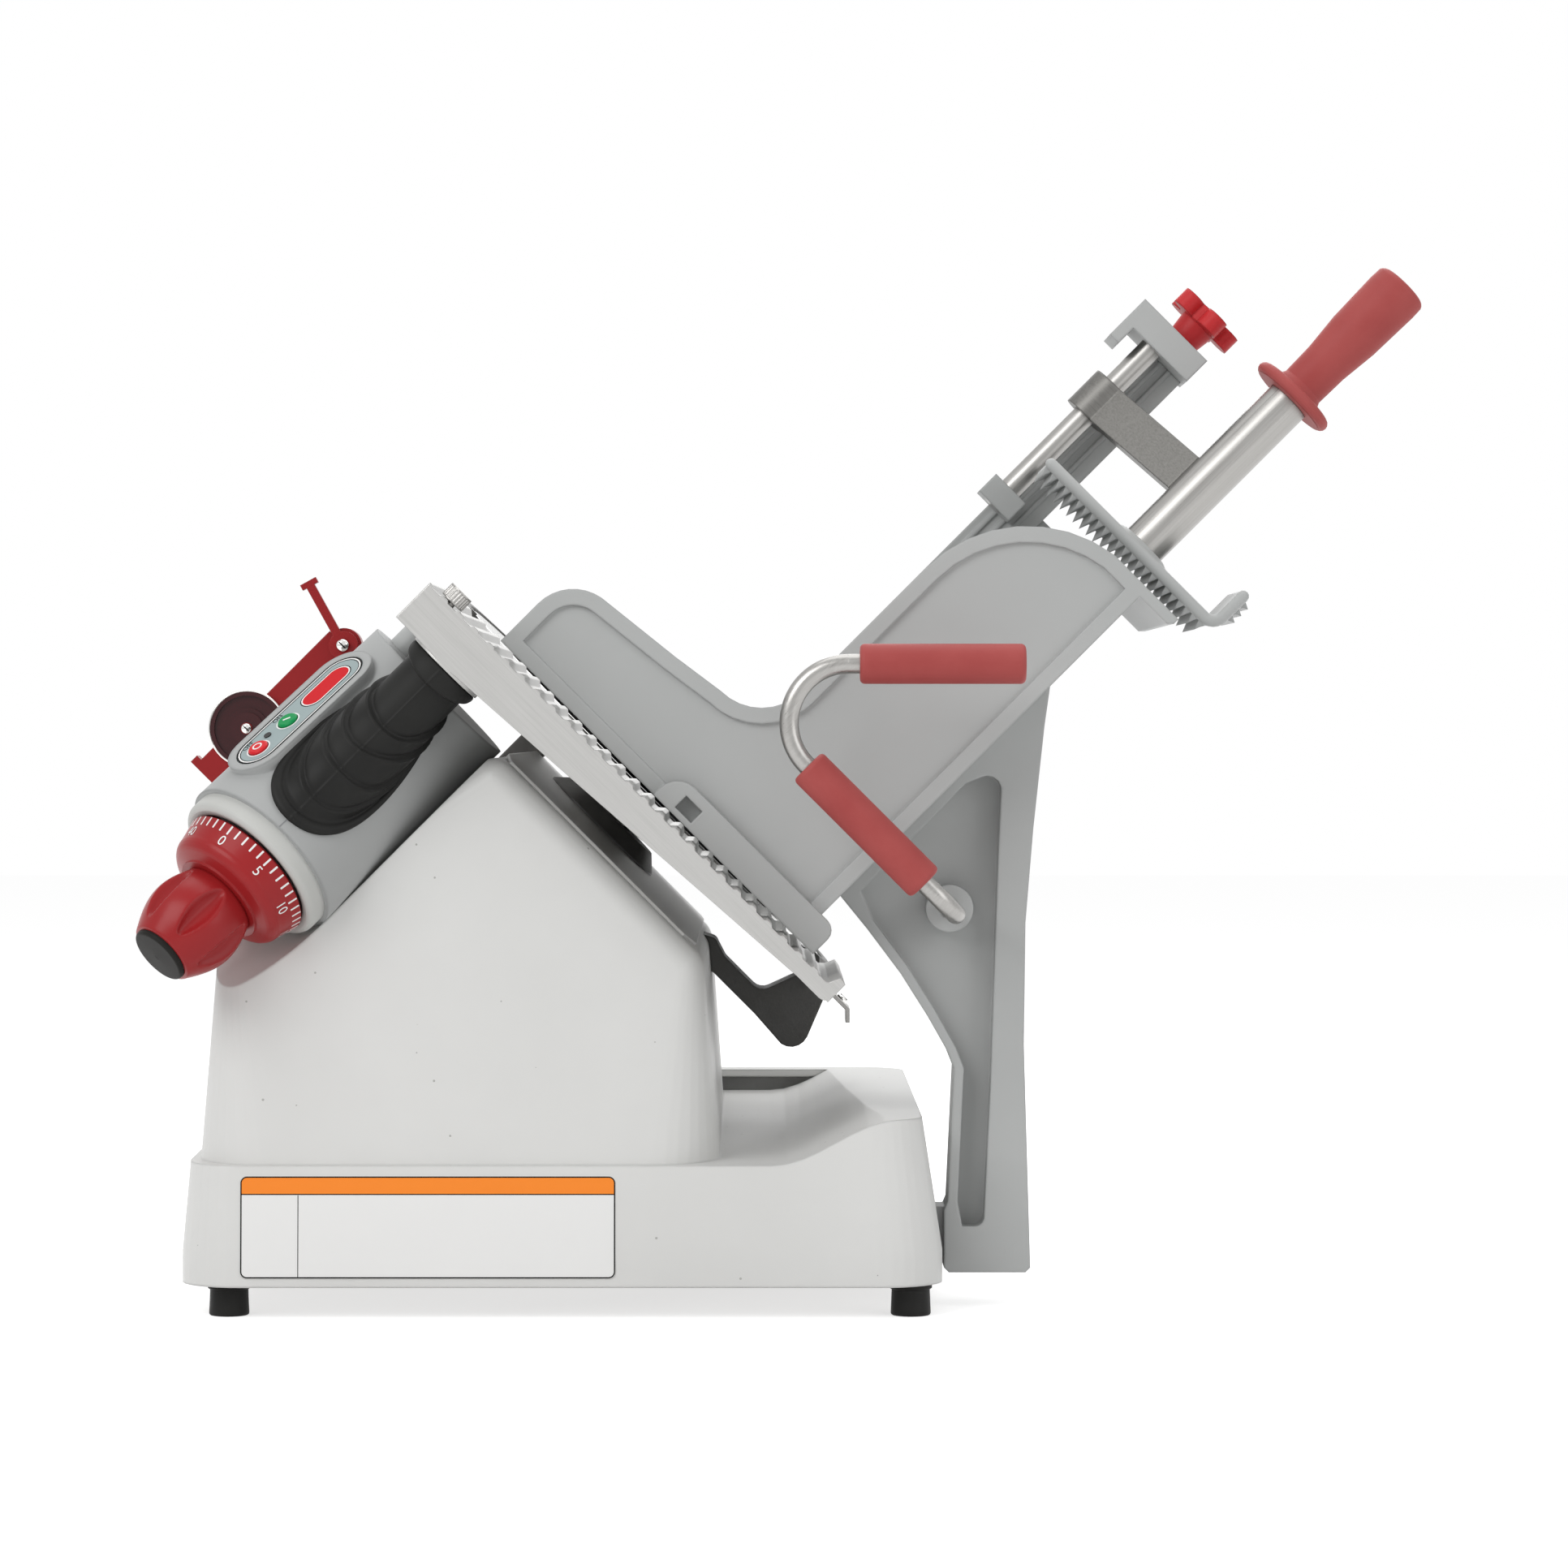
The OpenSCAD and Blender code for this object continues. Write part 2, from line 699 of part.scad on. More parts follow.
module ring_guard() {
    color(dark_cast) slope() difference() {
        union() {
            translate([knife_t, knife_y, 0]) rotate([0, 0, -20]) rotate_extrude(angle = 220, $fn = 128)
                polygon([[guard_r[0], guard_n[0]], [guard_r[1], guard_n[0]], [guard_r[1], guard_n[1] - 3],
                         [guard_r[1] - 3, guard_n[1]], [guard_r[0], guard_n[1]]]);
            along_y(guard_arm_y[0], guard_arm_y[1]) polygon(concat(
                [[-188, 112], [-189, 131]], arc(-180, 129, 6, 120, 60, 4), arc(-166, 137, 6, -110, -90, 2),
                arc(-140, 140, 9, -90, -20, 4), [[-126, 152], [-121, guard_shelf], [-102, guard_shelf]],
                arc(-101, 128, 12, 20, -80, 5), [[-126, 118], [-165, 118]]));
        }
        rotate([0, -45, 0]) pod_form(0);
        translate([knife_t, knife_y, guard_shelf + eps]) cylinder(h = 40, r = guard_r[0]);
    }
}

module guard_post() {
    color(dark_cast) slope() difference() {
        translate([-376, 204, 108]) cube([22, 22, guard_n[0] - 108]);
        rotate([0, -45, 0]) pod_form(0);
    }
}

module guard_plate() {
    y0 = guard_arm_y[0] + 4;
    color(bright) slope() difference() {
        along_y(y0, guard_arm_y[1] - 4) polygon([
            [-109, guard_shelf], [-84, guard_shelf], [-78, guard_shelf - 6],
            [-76, guard_shelf - 4], [-82.5, guard_shelf + 2.5], [-109, guard_shelf + 2.5]]);
        translate([knife_t, knife_y, 100]) cylinder(h = 100, r = guard_r[1] + 0.2);
    }
}

// Carriage way inside the base

rod_x = 60;
rod_z = 56;
rod_y = [-206, 206];
block_y = [-180, -112];
rail_x = [10, 34];
rail_top = 40;
roller_r = 11;
roller_x = [13, 29];
roller_z = rail_top + roller_r + 0.3;
roller_pin_d = 8;

module carriage_rod() { color(bright) world() bar_y(rod_x, rod_z, rod_y[0], rod_y[1], rod_d); }

module rod_blocks() {
    color(cast_grey) world() for (y = [rod_y[0], rod_y[1] - 18]) difference() {
        translate([42, y, skirt_z0 + cover_t]) cube([35, 18, 52]);
        bar_y(rod_x, rod_z, y - 1, y + 19, rod_d);
    }
}

module guide_rail() {
    color(steel) world() translate([rail_x[0], rod_y[0], skirt_z0 + cover_t])
        cube([rail_x[1] - rail_x[0], rod_y[1] - rod_y[0], rail_top - skirt_z0 - cover_t]);
}

// Sharpener parked behind the index housing

sharp_y = [72, 88];
wheel_t = -506;
wheel_n = 10;
wheel_d = 52;
lever_t = -500;
lever_n = 96;
lever_pin_d = 8;

module sharpener_frame() {
    color(red) slope() difference() {
        union() {
            along_y(sharp_y[0], sharp_y[1]) {
                polygon([[-514, -18], [-514, lever_n], [-490, lever_n], [-490, 48], [-470, 44], [-372, 44],
                         [-372, 8], [-470, 8], [-494, -18]]);
                translate([lever_t, lever_n]) circle(r = 12);
                polygon([[-518, -34], [-494, -34], [-490, -18], [-514, -18], [-514, -28], [-518, -28]]);
            }
            translate([wheel_t, sharp_y[0], wheel_n]) rotate([90, 0, 0]) cylinder(h = 15, d = 8);
            translate([lever_t, sharp_y[0], lever_n]) rotate([90, 0, 0]) cylinder(h = 12, d = lever_pin_d);
        }
        rotate([0, -45, 0]) pod_form(0);
    }
}

module sharpener_wheel() {
    color("#4b1f22") slope() translate([wheel_t, sharp_y[0] - gap, wheel_n])
        rotate([90, 0, 0]) difference() {
        union() {
            cylinder(h = 9, d = wheel_d);
            cylinder(h = 13, d = 22);
        }
        translate([0, 0, -1]) cylinder(h = 20, d = 8 + 2 * fit);
        translate([0, 0, 6]) difference() {
            cylinder(h = 10, d = wheel_d - 7);
            cylinder(h = 10, d = 28);
        }
    }
}

module sharpener_lever() {
    color(red) slope() translate([lever_t, sharp_y[0] - gap, lever_n])
        rotate([90, 0, 0]) linear_extrude(6) difference() {
        union() {
            circle(r = 10);
            rotate(164) translate([0, -3]) square([50, 6]);
            rotate(164) translate([46, -6]) square([4, 12]);
        }
        circle(d = lever_pin_d + 2 * fit);
    }
}

// Carriage: tray, far rail and leg

tray_n0 = 181;
far_y = 14;
rail_t = [-257, -224];
rail_y = [-2, 22];
rail_end = 618;
pivot_t = -254;
pivot_y = -20;
strip_t = [-277, -137];
strip_top = 202;

// Near fence in (t, n): a low wing along the gauge plate and a tall panel beside the food
function fence_outline() = concat(
    [[floor_t, tray_n0], [-412, tray_n0]],
    arc(-381, 214, 31, 180, 100), [[-328, 251]],
    arc(-293, 292, 36, -90, 0), arc(-167, tray_end - 89, 90, 180, 98), [[floor_t, tray_end]]);

module tray() {
    rim = 10;
    y1 = fence_y + tray_wall + 3;
    color(cast_grey) slope() difference() {
        union() {
            difference() {
                along_y(fence_y, y1) polygon(fence_outline());
                along_y(fence_y - 1, fence_y + 3) offset(r = -rim) polygon(fence_outline());
            }
            // Floor, far wall and the flange under the upper end
            translate([floor_t - tray_wall, fence_y, tray_n0])
                cube([tray_wall, far_y - fence_y, tray_end - tray_n0]);
            translate([rail_t[1], far_y - tray_wall, tray_n0])
                cube([floor_t - rail_t[1], tray_wall, tray_end - tray_n0]);
            along_y(fence_y, far_y) polygon([
                [floor_t - 1, tray_end - 7], [-126, tray_end - 7], [-123, tray_end - 4],
                [-123, tray_end], [floor_t - 1, tray_end]]);
            // Strip along the foot of the fence, over the gauge plate
            along_y(fence_y - 16, fence_y + 1) polygon(concat([[strip_t[1], tray_n0], [strip_t[0], tray_n0]],
                arc(strip_t[0] + 16, strip_top - 16, 16, 180, 90, 5),
                arc(strip_t[1] - 8, strip_top - 8, 8, 90, 0, 4)));
        }
        // Square pocket at the start of the strip
        translate([-262, fence_y - 17, tray_n0 + 4]) cube([14, 12, 10]);
    }
}

module far_rail() {
    ridges = [-252, -244, -236];
    color(cast_grey) slope() difference() {
        union() {
            translate([0, 0, tray_n0]) linear_extrude(rail_end - tray_n0) {
                translate([rail_t[0], rail_y[0]]) square([rail_t[1] - rail_t[0], rail_y[1] - rail_y[0]]);
                for (t = ridges) translate([t, rail_y[0] - 1.5]) square([3, 2]);
            }
            // Lug for the lower end of the pusher rod
            translate([-268, pivot_y - 13, tray_end - 19]) cube([28, rail_y[0] - pivot_y + 14, 16]);
        }
        translate([pivot_t, pivot_y, tray_end - 30]) cylinder(h = 60, d = pivot_d);
    }
}

star_t = -243;
star_y = -4;
bracket_n = [rail_end, rail_end + 19];

module rail_bracket() {
    color(cast_grey) slope() difference() {
        union() {
            translate([-272, -36, bracket_n[0]]) cube([50, 58, bracket_n[1] - bracket_n[0]]);
            translate([-280, -36, bracket_n[0] - 14]) cube([8, 58, 33]);
        }
        translate([pivot_t, pivot_y, bracket_n[0] - 1]) cylinder(h = 16, d = pivot_d);
        translate([star_t, star_y, bracket_n[0] + 6]) cylinder(h = 20, d = 8 + 2 * fit);
    }
}

module pusher_rod() {
    n0 = tray_end - 19;
    n1 = bracket_n[0] + 15;
    color(steel) slope() translate([pivot_t, pivot_y, n0]) cylinder(h = n1 - n0, d = pivot_d);
}

module star_knob() {
    lobes = 5;
    color(red) slope() translate([star_t, star_y, bracket_n[1] + gap]) {
        translate([0, 0, -12]) cylinder(h = 12, d = 8);
        cylinder(h = 15, r1 = 11, r2 = 13);
        translate([0, 0, 15]) linear_extrude(12) {
            circle(r = 16);
            for (i = [0:lobes - 1]) rotate(i * 360 / lobes) translate([18, 0]) circle(r = 8);
        }
    }
}

leg_y = [-172, -128];
leg_web = [-154, -146];
handle_y = -290;
handle_n = 261;
handle_t = [-223.5, -94];
elbow_r = 20;
bend_r = 36;
upper_len = 104;
grip_d = 24.5;
// The bend ends level, straight above its middle
upper_x = (handle_n + bend_r + handle_t[0]) / sqrt(2);
upper_z = (handle_n + bend_r - handle_t[0]) / sqrt(2) + bend_r;

// Height of the tray floor's underside over X
function under_floor(x) = x - floor_t * sqrt(2);

module leg_outline() {
    polygon([[48, under_floor(48)], [66, 238], [87, 210], [104, 183], [117, 160], [121, 150],
             [117, 66], [114.5, 60], [114.5, 24], [117.5, 21], [166, 21], [169, 24],
             [165, 165], [166, 242], [171, 302], [178, 366],
             [182, under_floor(182)]]);
}

module leg_recess() {
    polygon(concat([[62, 262], [128, 330]], arc(142, 326, 9, 120, 10, 4), [[149, 285], [144, 138], [140, 57]],
                   arc(134, 56, 6, -10, -90, 3), [[126, 50], [123, 66], [127, 150], [122, 163],
                   [108, 188], [91, 215], [70, 243]]));
}

module carriage_leg() {
    color(cast_grey) world() difference() {
        union() {
            difference() {
                along_y(leg_y[0], leg_y[1]) leg_outline();
                along_y(leg_y[0] - 1, leg_web[0]) leg_recess();
                along_y(leg_web[1], leg_y[1] + 1) leg_recess();
            }
            // Boss for the handle tube
            rotate([0, 45, 0]) along_y(leg_y[0], leg_web[0] + 2)
                translate([handle_t[1], handle_n]) circle(r = 15);
            // Foot through the slot to the slide block
            translate([84, leg_y[0] + 6, 30]) cube([36, leg_y[1] - leg_y[0] - 12, 32]);
        }
        rotate([0, 45, 0]) along_y(leg_y[0] - 1, leg_web[0])
            translate([handle_t[1], handle_n]) circle(d = handle_d);
    }
}

module slide_block() {
    bush_r = rod_d / 2 + 4;
    axle_y = (block_y[0] + block_y[1]) / 2;
    color(cast_grey) world() {
        difference() {
            translate([36, block_y[0], 34]) cube([48, block_y[1] - block_y[0], 44]);
            bar_y(rod_x, rod_z, block_y[0] - 1, block_y[1] + 1, 2 * bush_r);
        }
        translate([roller_x[0] - 2, axle_y, roller_z]) rotate([0, 90, 0])
            cylinder(h = 38 - roller_x[0], d = roller_pin_d);
    }
}

module slide_bushes() {
    len = 22;
    color("#b08d57") world() for (y = [block_y[0], block_y[1] - len]) difference() {
        bar_y(rod_x, rod_z, y, y + len, rod_d + 8);
        bar_y(rod_x, rod_z, y - 1, y + len + 1, rod_d + 2 * fit);
    }
}

module guide_roller() {
    axle_y = (block_y[0] + block_y[1]) / 2;
    color(black) world() translate([roller_x[0], axle_y, roller_z]) rotate([0, 90, 0]) difference() {
        cylinder(h = roller_x[1] - roller_x[0], r = roller_r);
        translate([0, 0, -1]) cylinder(h = 40, d = roller_pin_d + 2 * fit);
    }
}

// The bends are a hair thinner than the straights, and run on into them
module handle_tube() {
    bend_n = handle_n + bend_r;
    bent_d = handle_d - 0.1;
    lap = 2;
    color(steel) {
        slope() {
            translate([handle_t[0], handle_y, handle_n]) rotate([0, 90, 0])
                cylinder(h = handle_t[1] - elbow_r - handle_t[0], d = handle_d);
            translate([handle_t[1] - elbow_r, handle_y + elbow_r, handle_n]) rotate([0, 0, -90 - lap])
                rotate_extrude(angle = 90 + 2 * lap) translate([elbow_r, 0]) circle(d = bent_d);
            along_y(handle_y + elbow_r, leg_web[0]) translate([handle_t[1], handle_n]) circle(d = handle_d);
            translate([handle_t[0], handle_y, bend_n]) rotate([90, 0, 0]) rotate([0, 0, 135 - lap])
                rotate_extrude(angle = 135 + 2 * lap) translate([bend_r, 0]) circle(d = bent_d);
        }
        world() translate([upper_x, handle_y, upper_z]) rotate([0, 90, 0])
            cylinder(h = upper_len, d = handle_d);
    }
}

// Rubber grip on the handle tube, along x, closed at its far end if asked
module grip(closed) {
    r = grip_d / 2;
    bore = handle_d / 2;
    end = closed ? [[0, grip_len], [0, grip_len - 4], [bore, grip_len - 4]] : [[bore, grip_len]];
    rotate([0, 90, 0]) rotate_extrude() polygon(concat(
        [[bore, 0], [r - 4, 0]], arc(r - 3, 3, 3, -70, 0, 4), arc(r - 3, grip_len - 3, 3, 0, 80, 4), end));
}

module handle_grips() {
    color(red) {
        world() translate([upper_x + upper_len + 4 - grip_len, handle_y, upper_z]) grip(true);
        slope() translate([handle_t[0] + 1, handle_y, handle_n]) grip(false);
    }
}

// Pusher: arm, tube, toothed plate and grip, turning together about the far rod

tube_t = -167;
tube_y = -85;
arm_n = [555, 583];
plate_n = 510;
tube_top = 650;
tooth_h = 8;
plate_t = [-249, -104];
plate_y = [-146, -40];

module pusher_arm() {
    reach = [tube_t - pivot_t, tube_y - pivot_y];
    color(steel) slope() translate([0, 0, arm_n[0]]) linear_extrude(arm_n[1] - arm_n[0]) difference() {
        translate([pivot_t, pivot_y]) {
            circle(r = 15);
            rotate(atan2(reach.y, reach.x)) translate([0, -9]) square([norm(reach), 18]);
        }
        translate([pivot_t, pivot_y]) circle(d = pivot_d + 2 * fit);
        translate([tube_t, tube_y]) circle(d = tube_d);
    }
}

module pusher_tube() {
    color(steel) slope() translate([tube_t, tube_y, plate_n]) difference() {
        cylinder(h = tube_top - plate_n, d = tube_d);
        translate([0, 0, 4]) cylinder(h = 200, d = tube_d - 5);
    }
}

module pusher_grip() {
    flange_r = 30;
    flutes = 6;
    color(red) slope() translate([tube_t, tube_y, tube_top]) difference() {
        rotate_extrude() polygon(concat(
            [[0, 0], [flange_r - 3, 0]], arc(flange_r - 4, 4, 4, -80, 80, 6),
            [[17, 9], [15, 13], [15.5, 35], [18, 60], [19, 95]], arc(14, 101, 5, 20, 90, 4), [[0, 106]]));
        for (i = [0:flutes - 1]) rotate([0, 0, i * 360 / flutes])
            translate([21.5, 0, 26]) rotate([0, 4.5, 0]) {
            cylinder(h = 90, r = 5);
            sphere(5);
        }
    }
}

// Saw profile of count teeth, points at minus y
module saw(count, pitch) {
    polygon(concat([[0, 1], [0, 0]],
        [for (i = [0:count - 1], k = [0, 1]) [(i + (k ? 1 : 0.5)) * pitch, k ? 0 : -tooth_h]],
        [[count * pitch, 1]]));
}

module toothed_plate() {
    rows = floor((plate_t[1] - plate_t[0]) / tooth_pitch);
    cols = floor((plate_y[1] - plate_y[0]) / (2 * tooth_pitch));
    thick = 5;
    hook = 26;
    color(cast_grey) slope() {
        translate([0, 0, plate_n - thick]) linear_extrude(thick)
            rounded_rect(plate_t[0], plate_t[1], plate_y[0], plate_y[1], 8);
        // Teeth in rows, cut across into points
        intersection() {
            translate([plate_t[0], plate_y[1], plate_n - thick]) rotate([90, 0, 0])
                linear_extrude(plate_y[1] - plate_y[0]) saw(rows, tooth_pitch);
            translate([plate_t[0], plate_y[0], plate_n - thick]) rotate([90, 0, 90])
                linear_extrude(plate_t[1] - plate_t[0]) saw(cols, 2 * tooth_pitch);
        }
        // Upturned end with its own short teeth
        along_y(plate_y[0] + 8, plate_y[1] - 8) polygon([
            [plate_t[1] - 4, plate_n - thick], [plate_t[1] + 6, plate_n - thick + 8],
            [plate_t[1] + 6, plate_n + hook], [plate_t[1], plate_n + hook],
            [plate_t[1], plate_n - 1], [plate_t[1] - 4, plate_n - 1]]);
        for (i = [0:2]) along_y(plate_y[0] + 8, plate_y[1] - 8)
            translate([plate_t[1] + 5.5, plate_n + 6 + i * tooth_pitch])
                polygon([[0, 0], [6, tooth_pitch / 2], [0, tooth_pitch]]);
    }
}

base_housing();
bottom_cover();
feet();
index_housing();
panel_plate();
run_lamp();
dial_ring();
gauge_bush();
switch_block();
cord_gland();
motor_body();
motor_bracket();
bearing_housing();
shaft_bearings();
drive_belt();
ring_guard();
guard_post();
guard_plate();
knife_cover();
carriage_rod();
rod_blocks();
guide_rail();
sharpener_frame();
start_button();
stop_button();
dial_drum();
index_knob();
knob_cap();
index_shaft();
gauge_plate();
gauge_arm();
gauge_pin();
gauge_boot();
knurled_knob();
knife();
knife_hub();
knife_shaft();
knife_pulley();
motor_rotor();
motor_pulley();
sharpener_lever();
sharpener_wheel();
tray();
far_rail();
rail_bracket();
pusher_rod();
carriage_leg();
slide_block();
slide_bushes();
guide_roller();
handle_tube();
handle_grips();
star_knob();
pusher_arm();
pusher_tube();
pusher_grip();
toothed_plate();
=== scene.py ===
"""Looks of a counter-top gravity-feed food slicer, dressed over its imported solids."""
import json
import math

import bpy
from mathutils import Matrix, Vector


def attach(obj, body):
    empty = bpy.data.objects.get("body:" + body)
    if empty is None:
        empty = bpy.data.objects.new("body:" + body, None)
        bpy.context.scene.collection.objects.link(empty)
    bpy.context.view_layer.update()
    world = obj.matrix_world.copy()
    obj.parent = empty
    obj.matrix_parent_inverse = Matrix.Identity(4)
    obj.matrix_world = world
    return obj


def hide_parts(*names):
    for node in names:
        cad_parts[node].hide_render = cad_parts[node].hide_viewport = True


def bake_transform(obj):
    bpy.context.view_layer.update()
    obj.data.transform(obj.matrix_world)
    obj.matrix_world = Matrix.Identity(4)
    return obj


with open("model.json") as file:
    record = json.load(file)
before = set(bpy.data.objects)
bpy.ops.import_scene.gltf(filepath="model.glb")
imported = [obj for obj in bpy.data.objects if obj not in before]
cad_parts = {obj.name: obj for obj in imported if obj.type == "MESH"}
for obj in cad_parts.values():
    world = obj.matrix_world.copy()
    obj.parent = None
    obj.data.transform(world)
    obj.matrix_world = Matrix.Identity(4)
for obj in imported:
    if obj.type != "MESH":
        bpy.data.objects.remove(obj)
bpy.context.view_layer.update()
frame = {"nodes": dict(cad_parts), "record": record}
nodes = frame["nodes"]

# Lengths below are millimetres in the machine's own frames, and metres in the scene
MM = 0.001
ORIGIN_X = 18.74
ORIGIN_Y = -30.56


def turn(axis, degrees):
    return Matrix.Rotation(math.radians(degrees), 4, axis)


def move(x, y, z):
    return Matrix.Translation((x, y, z))


# Frames: the machine, the 45 degree slope (t, y, n), the index axis and the control panel
SLOPE_DEG = 45
INDEX_T, INDEX_Y, INDEX_N = -420, -245, -18
INDEX_TILT = 28
PANEL_TURN = 56
PANEL_OUT = 57.5
PANEL_UP = 75
MACHINE = Matrix.Scale(MM, 4) @ move(-ORIGIN_X, -ORIGIN_Y, 0)
SLOPE = MACHINE @ turn("Y", SLOPE_DEG)
INDEX = SLOPE @ move(INDEX_T, INDEX_Y, INDEX_N) @ turn("X", -INDEX_TILT)
PANEL = INDEX @ turn("Z", -PANEL_TURN) @ move(0, -PANEL_OUT, PANEL_UP) @ turn("X", 90)


# Mesh making


def add_mesh(name, verts, faces, place, material, body, slot=None, smooth=True):
    """A piece from points in a machine frame, riding on a body."""
    mesh = bpy.data.meshes.new(name)
    mesh.from_pydata([place @ Vector(v) for v in verts], [], faces)
    mesh.validate()
    for polygon in mesh.polygons:
        polygon.use_smooth = smooth
    mesh.materials.append(material)
    piece = bpy.data.objects.new(name, mesh)
    bpy.context.scene.collection.objects.link(piece)
    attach(piece, body)
    return piece


def join(*parts):
    """Several (points, faces) as one."""
    verts, faces = [], []
    for part_verts, part_faces in parts:
        start = len(verts)
        verts += list(part_verts)
        faces += [tuple(i + start for i in face) for face in part_faces]
    return verts, faces


def moved(part, place):
    return [place @ Vector(v) for v in part[0]], part[1]


def lathe(profile, segments=48):
    """A profile of (radius, height) turned about z, open where the profile is."""
    verts = [(r * math.cos(math.tau * k / segments), r * math.sin(math.tau * k / segments), z)
             for k in range(segments) for r, z in profile]
    rows = len(profile)
    faces = []
    for k in range(segments):
        a, b = k * rows, (k + 1) % segments * rows
        faces += [(a + i, b + i, b + i + 1, a + i + 1) for i in range(rows - 1)]
    return verts, faces


def slab(outline, low, high):
    """A flat outline raised from low to high."""
    count = len(outline)
    verts = [(x, y, low) for x, y in outline] + [(x, y, high) for x, y in outline]
    sides = [(i, (i + 1) % count, (i + 1) % count + count, i + count) for i in range(count)]
    return verts, sides + [tuple(range(count, 2 * count)), tuple(reversed(range(count)))]


def band(outer, inner, low, high):
    """A closed flat band between two outlines of as many points, raised from low to high."""
    count = len(outer)
    verts = [(x, y, z) for z in (low, high) for line in (outer, inner) for x, y in line]
    faces = []
    for i in range(count):
        j = (i + 1) % count
        faces.append((2 * count + i, 2 * count + j, 3 * count + j, 3 * count + i))
        faces.append((i, j, 2 * count + j, 2 * count + i))
        faces.append((count + j, count + i, 3 * count + i, 3 * count + j))
    return verts, faces


def stadium(length, width, steps=14):
    """A long round-ended outline along y."""
    r = width / 2
    reach = length / 2 - r
    top = [(r * math.cos(math.pi * k / steps), reach + r * math.sin(math.pi * k / steps))
           for k in range(steps + 1)]
    return top + [(-x, -y) for x, y in top]


def rounded_box(width, height, r, steps=6):
    """A rounded rectangle about the origin."""
    points = []
    for k, (sx, sy) in enumerate(((1, 1), (-1, 1), (-1, -1), (1, -1))):
        for i in range(steps + 1):
            a = math.pi / 2 * (k + i / steps)
            x = sx * (width / 2 - r) + r * math.cos(a)
            y = sy * (height / 2 - r) + r * math.sin(a)
            points.append((x, y))
    return points


def lettering(words, size):
    """Points and faces of plain lettering about the origin, on the xy plane."""
    curve = bpy.data.curves.new("lettering", "FONT")
    curve.body = words
    curve.size = size
    curve.align_x = "CENTER"
    curve.align_y = "CENTER"
    holder = bpy.data.objects.new("lettering", curve)
    bpy.context.scene.collection.objects.link(holder)
    mesh = holder.evaluated_get(bpy.context.evaluated_depsgraph_get()).to_mesh()
    part = [tuple(v.co) for v in mesh.vertices], [tuple(p.vertices) for p in mesh.polygons]
    bpy.data.objects.remove(holder)
    bpy.data.curves.remove(curve)
    return part


# Shader groups shared by the finishes


def shader_group(name, inputs, outputs):
    group = bpy.data.node_groups.new(name, "ShaderNodeTree")
    for label, kind, value in inputs:
        socket = group.interface.new_socket(label, in_out="INPUT", socket_type=kind)
        socket.default_value = value
    for label, kind in outputs:
        group.interface.new_socket(label, in_out="OUTPUT", socket_type=kind)
    return group, group.nodes.new("NodeGroupInput"), group.nodes.new("NodeGroupOutput")


def add_node(tree, kind, **settings):
    node = tree.nodes.new(kind)
    for label, value in settings.items():
        setattr(node, label, value)
    return node


FLOAT = "NodeSocketFloat"
VECTOR = "NodeSocketVector"


def grain_group():
    """Fine grain as a height, and slow drift of tone, at a scale per metre."""
    group, given, made = shader_group(
        "coating_grain", [("Scale", FLOAT, 900.0), ("Drift Scale", FLOAT, 6.0)],
        [("Height", FLOAT), ("Drift", FLOAT)])
    spot = add_node(group, "ShaderNodeTexCoord")
    fine = add_node(group, "ShaderNodeTexNoise")
    fine.inputs["Detail"].default_value = 3.0
    slow = add_node(group, "ShaderNodeTexNoise")
    slow.inputs["Detail"].default_value = 4.0
    for noise, scale, out in ((fine, "Scale", "Height"), (slow, "Drift Scale", "Drift")):
        group.links.new(spot.outputs["Object"], noise.inputs["Vector"])
        group.links.new(given.outputs[scale], noise.inputs["Scale"])
        group.links.new(noise.outputs["Fac"], made.inputs[out])
    return group


def speck_group():
    """Sparse tiny dark dots, as pits and dust in a pale coating."""
    group, given, made = shader_group(
        "coating_specks", [("Scale", FLOAT, 120.0), ("Size", FLOAT, 0.08), ("Share", FLOAT, 0.9)],
        [("Mask", FLOAT)])
    spot = add_node(group, "ShaderNodeTexCoord")
    cells = add_node(group, "ShaderNodeTexVoronoi")
    group.links.new(spot.outputs["Object"], cells.inputs["Vector"])
    group.links.new(given.outputs["Scale"], cells.inputs["Scale"])
    near = add_node(group, "ShaderNodeMath", operation="LESS_THAN")
    group.links.new(cells.outputs["Distance"], near.inputs[0])
    group.links.new(given.outputs["Size"], near.inputs[1])
    parts = add_node(group, "ShaderNodeSeparateColor")
    group.links.new(cells.outputs["Color"], parts.inputs[0])
    rare = add_node(group, "ShaderNodeMath", operation="GREATER_THAN")
    group.links.new(parts.outputs[0], rare.inputs[0])
    group.links.new(given.outputs["Share"], rare.inputs[1])
    both = add_node(group, "ShaderNodeMath", operation="MULTIPLY")
    group.links.new(near.outputs[0], both.inputs[0])
    group.links.new(rare.outputs[0], both.inputs[1])
    group.links.new(both.outputs[0], made.inputs["Mask"])
    return group


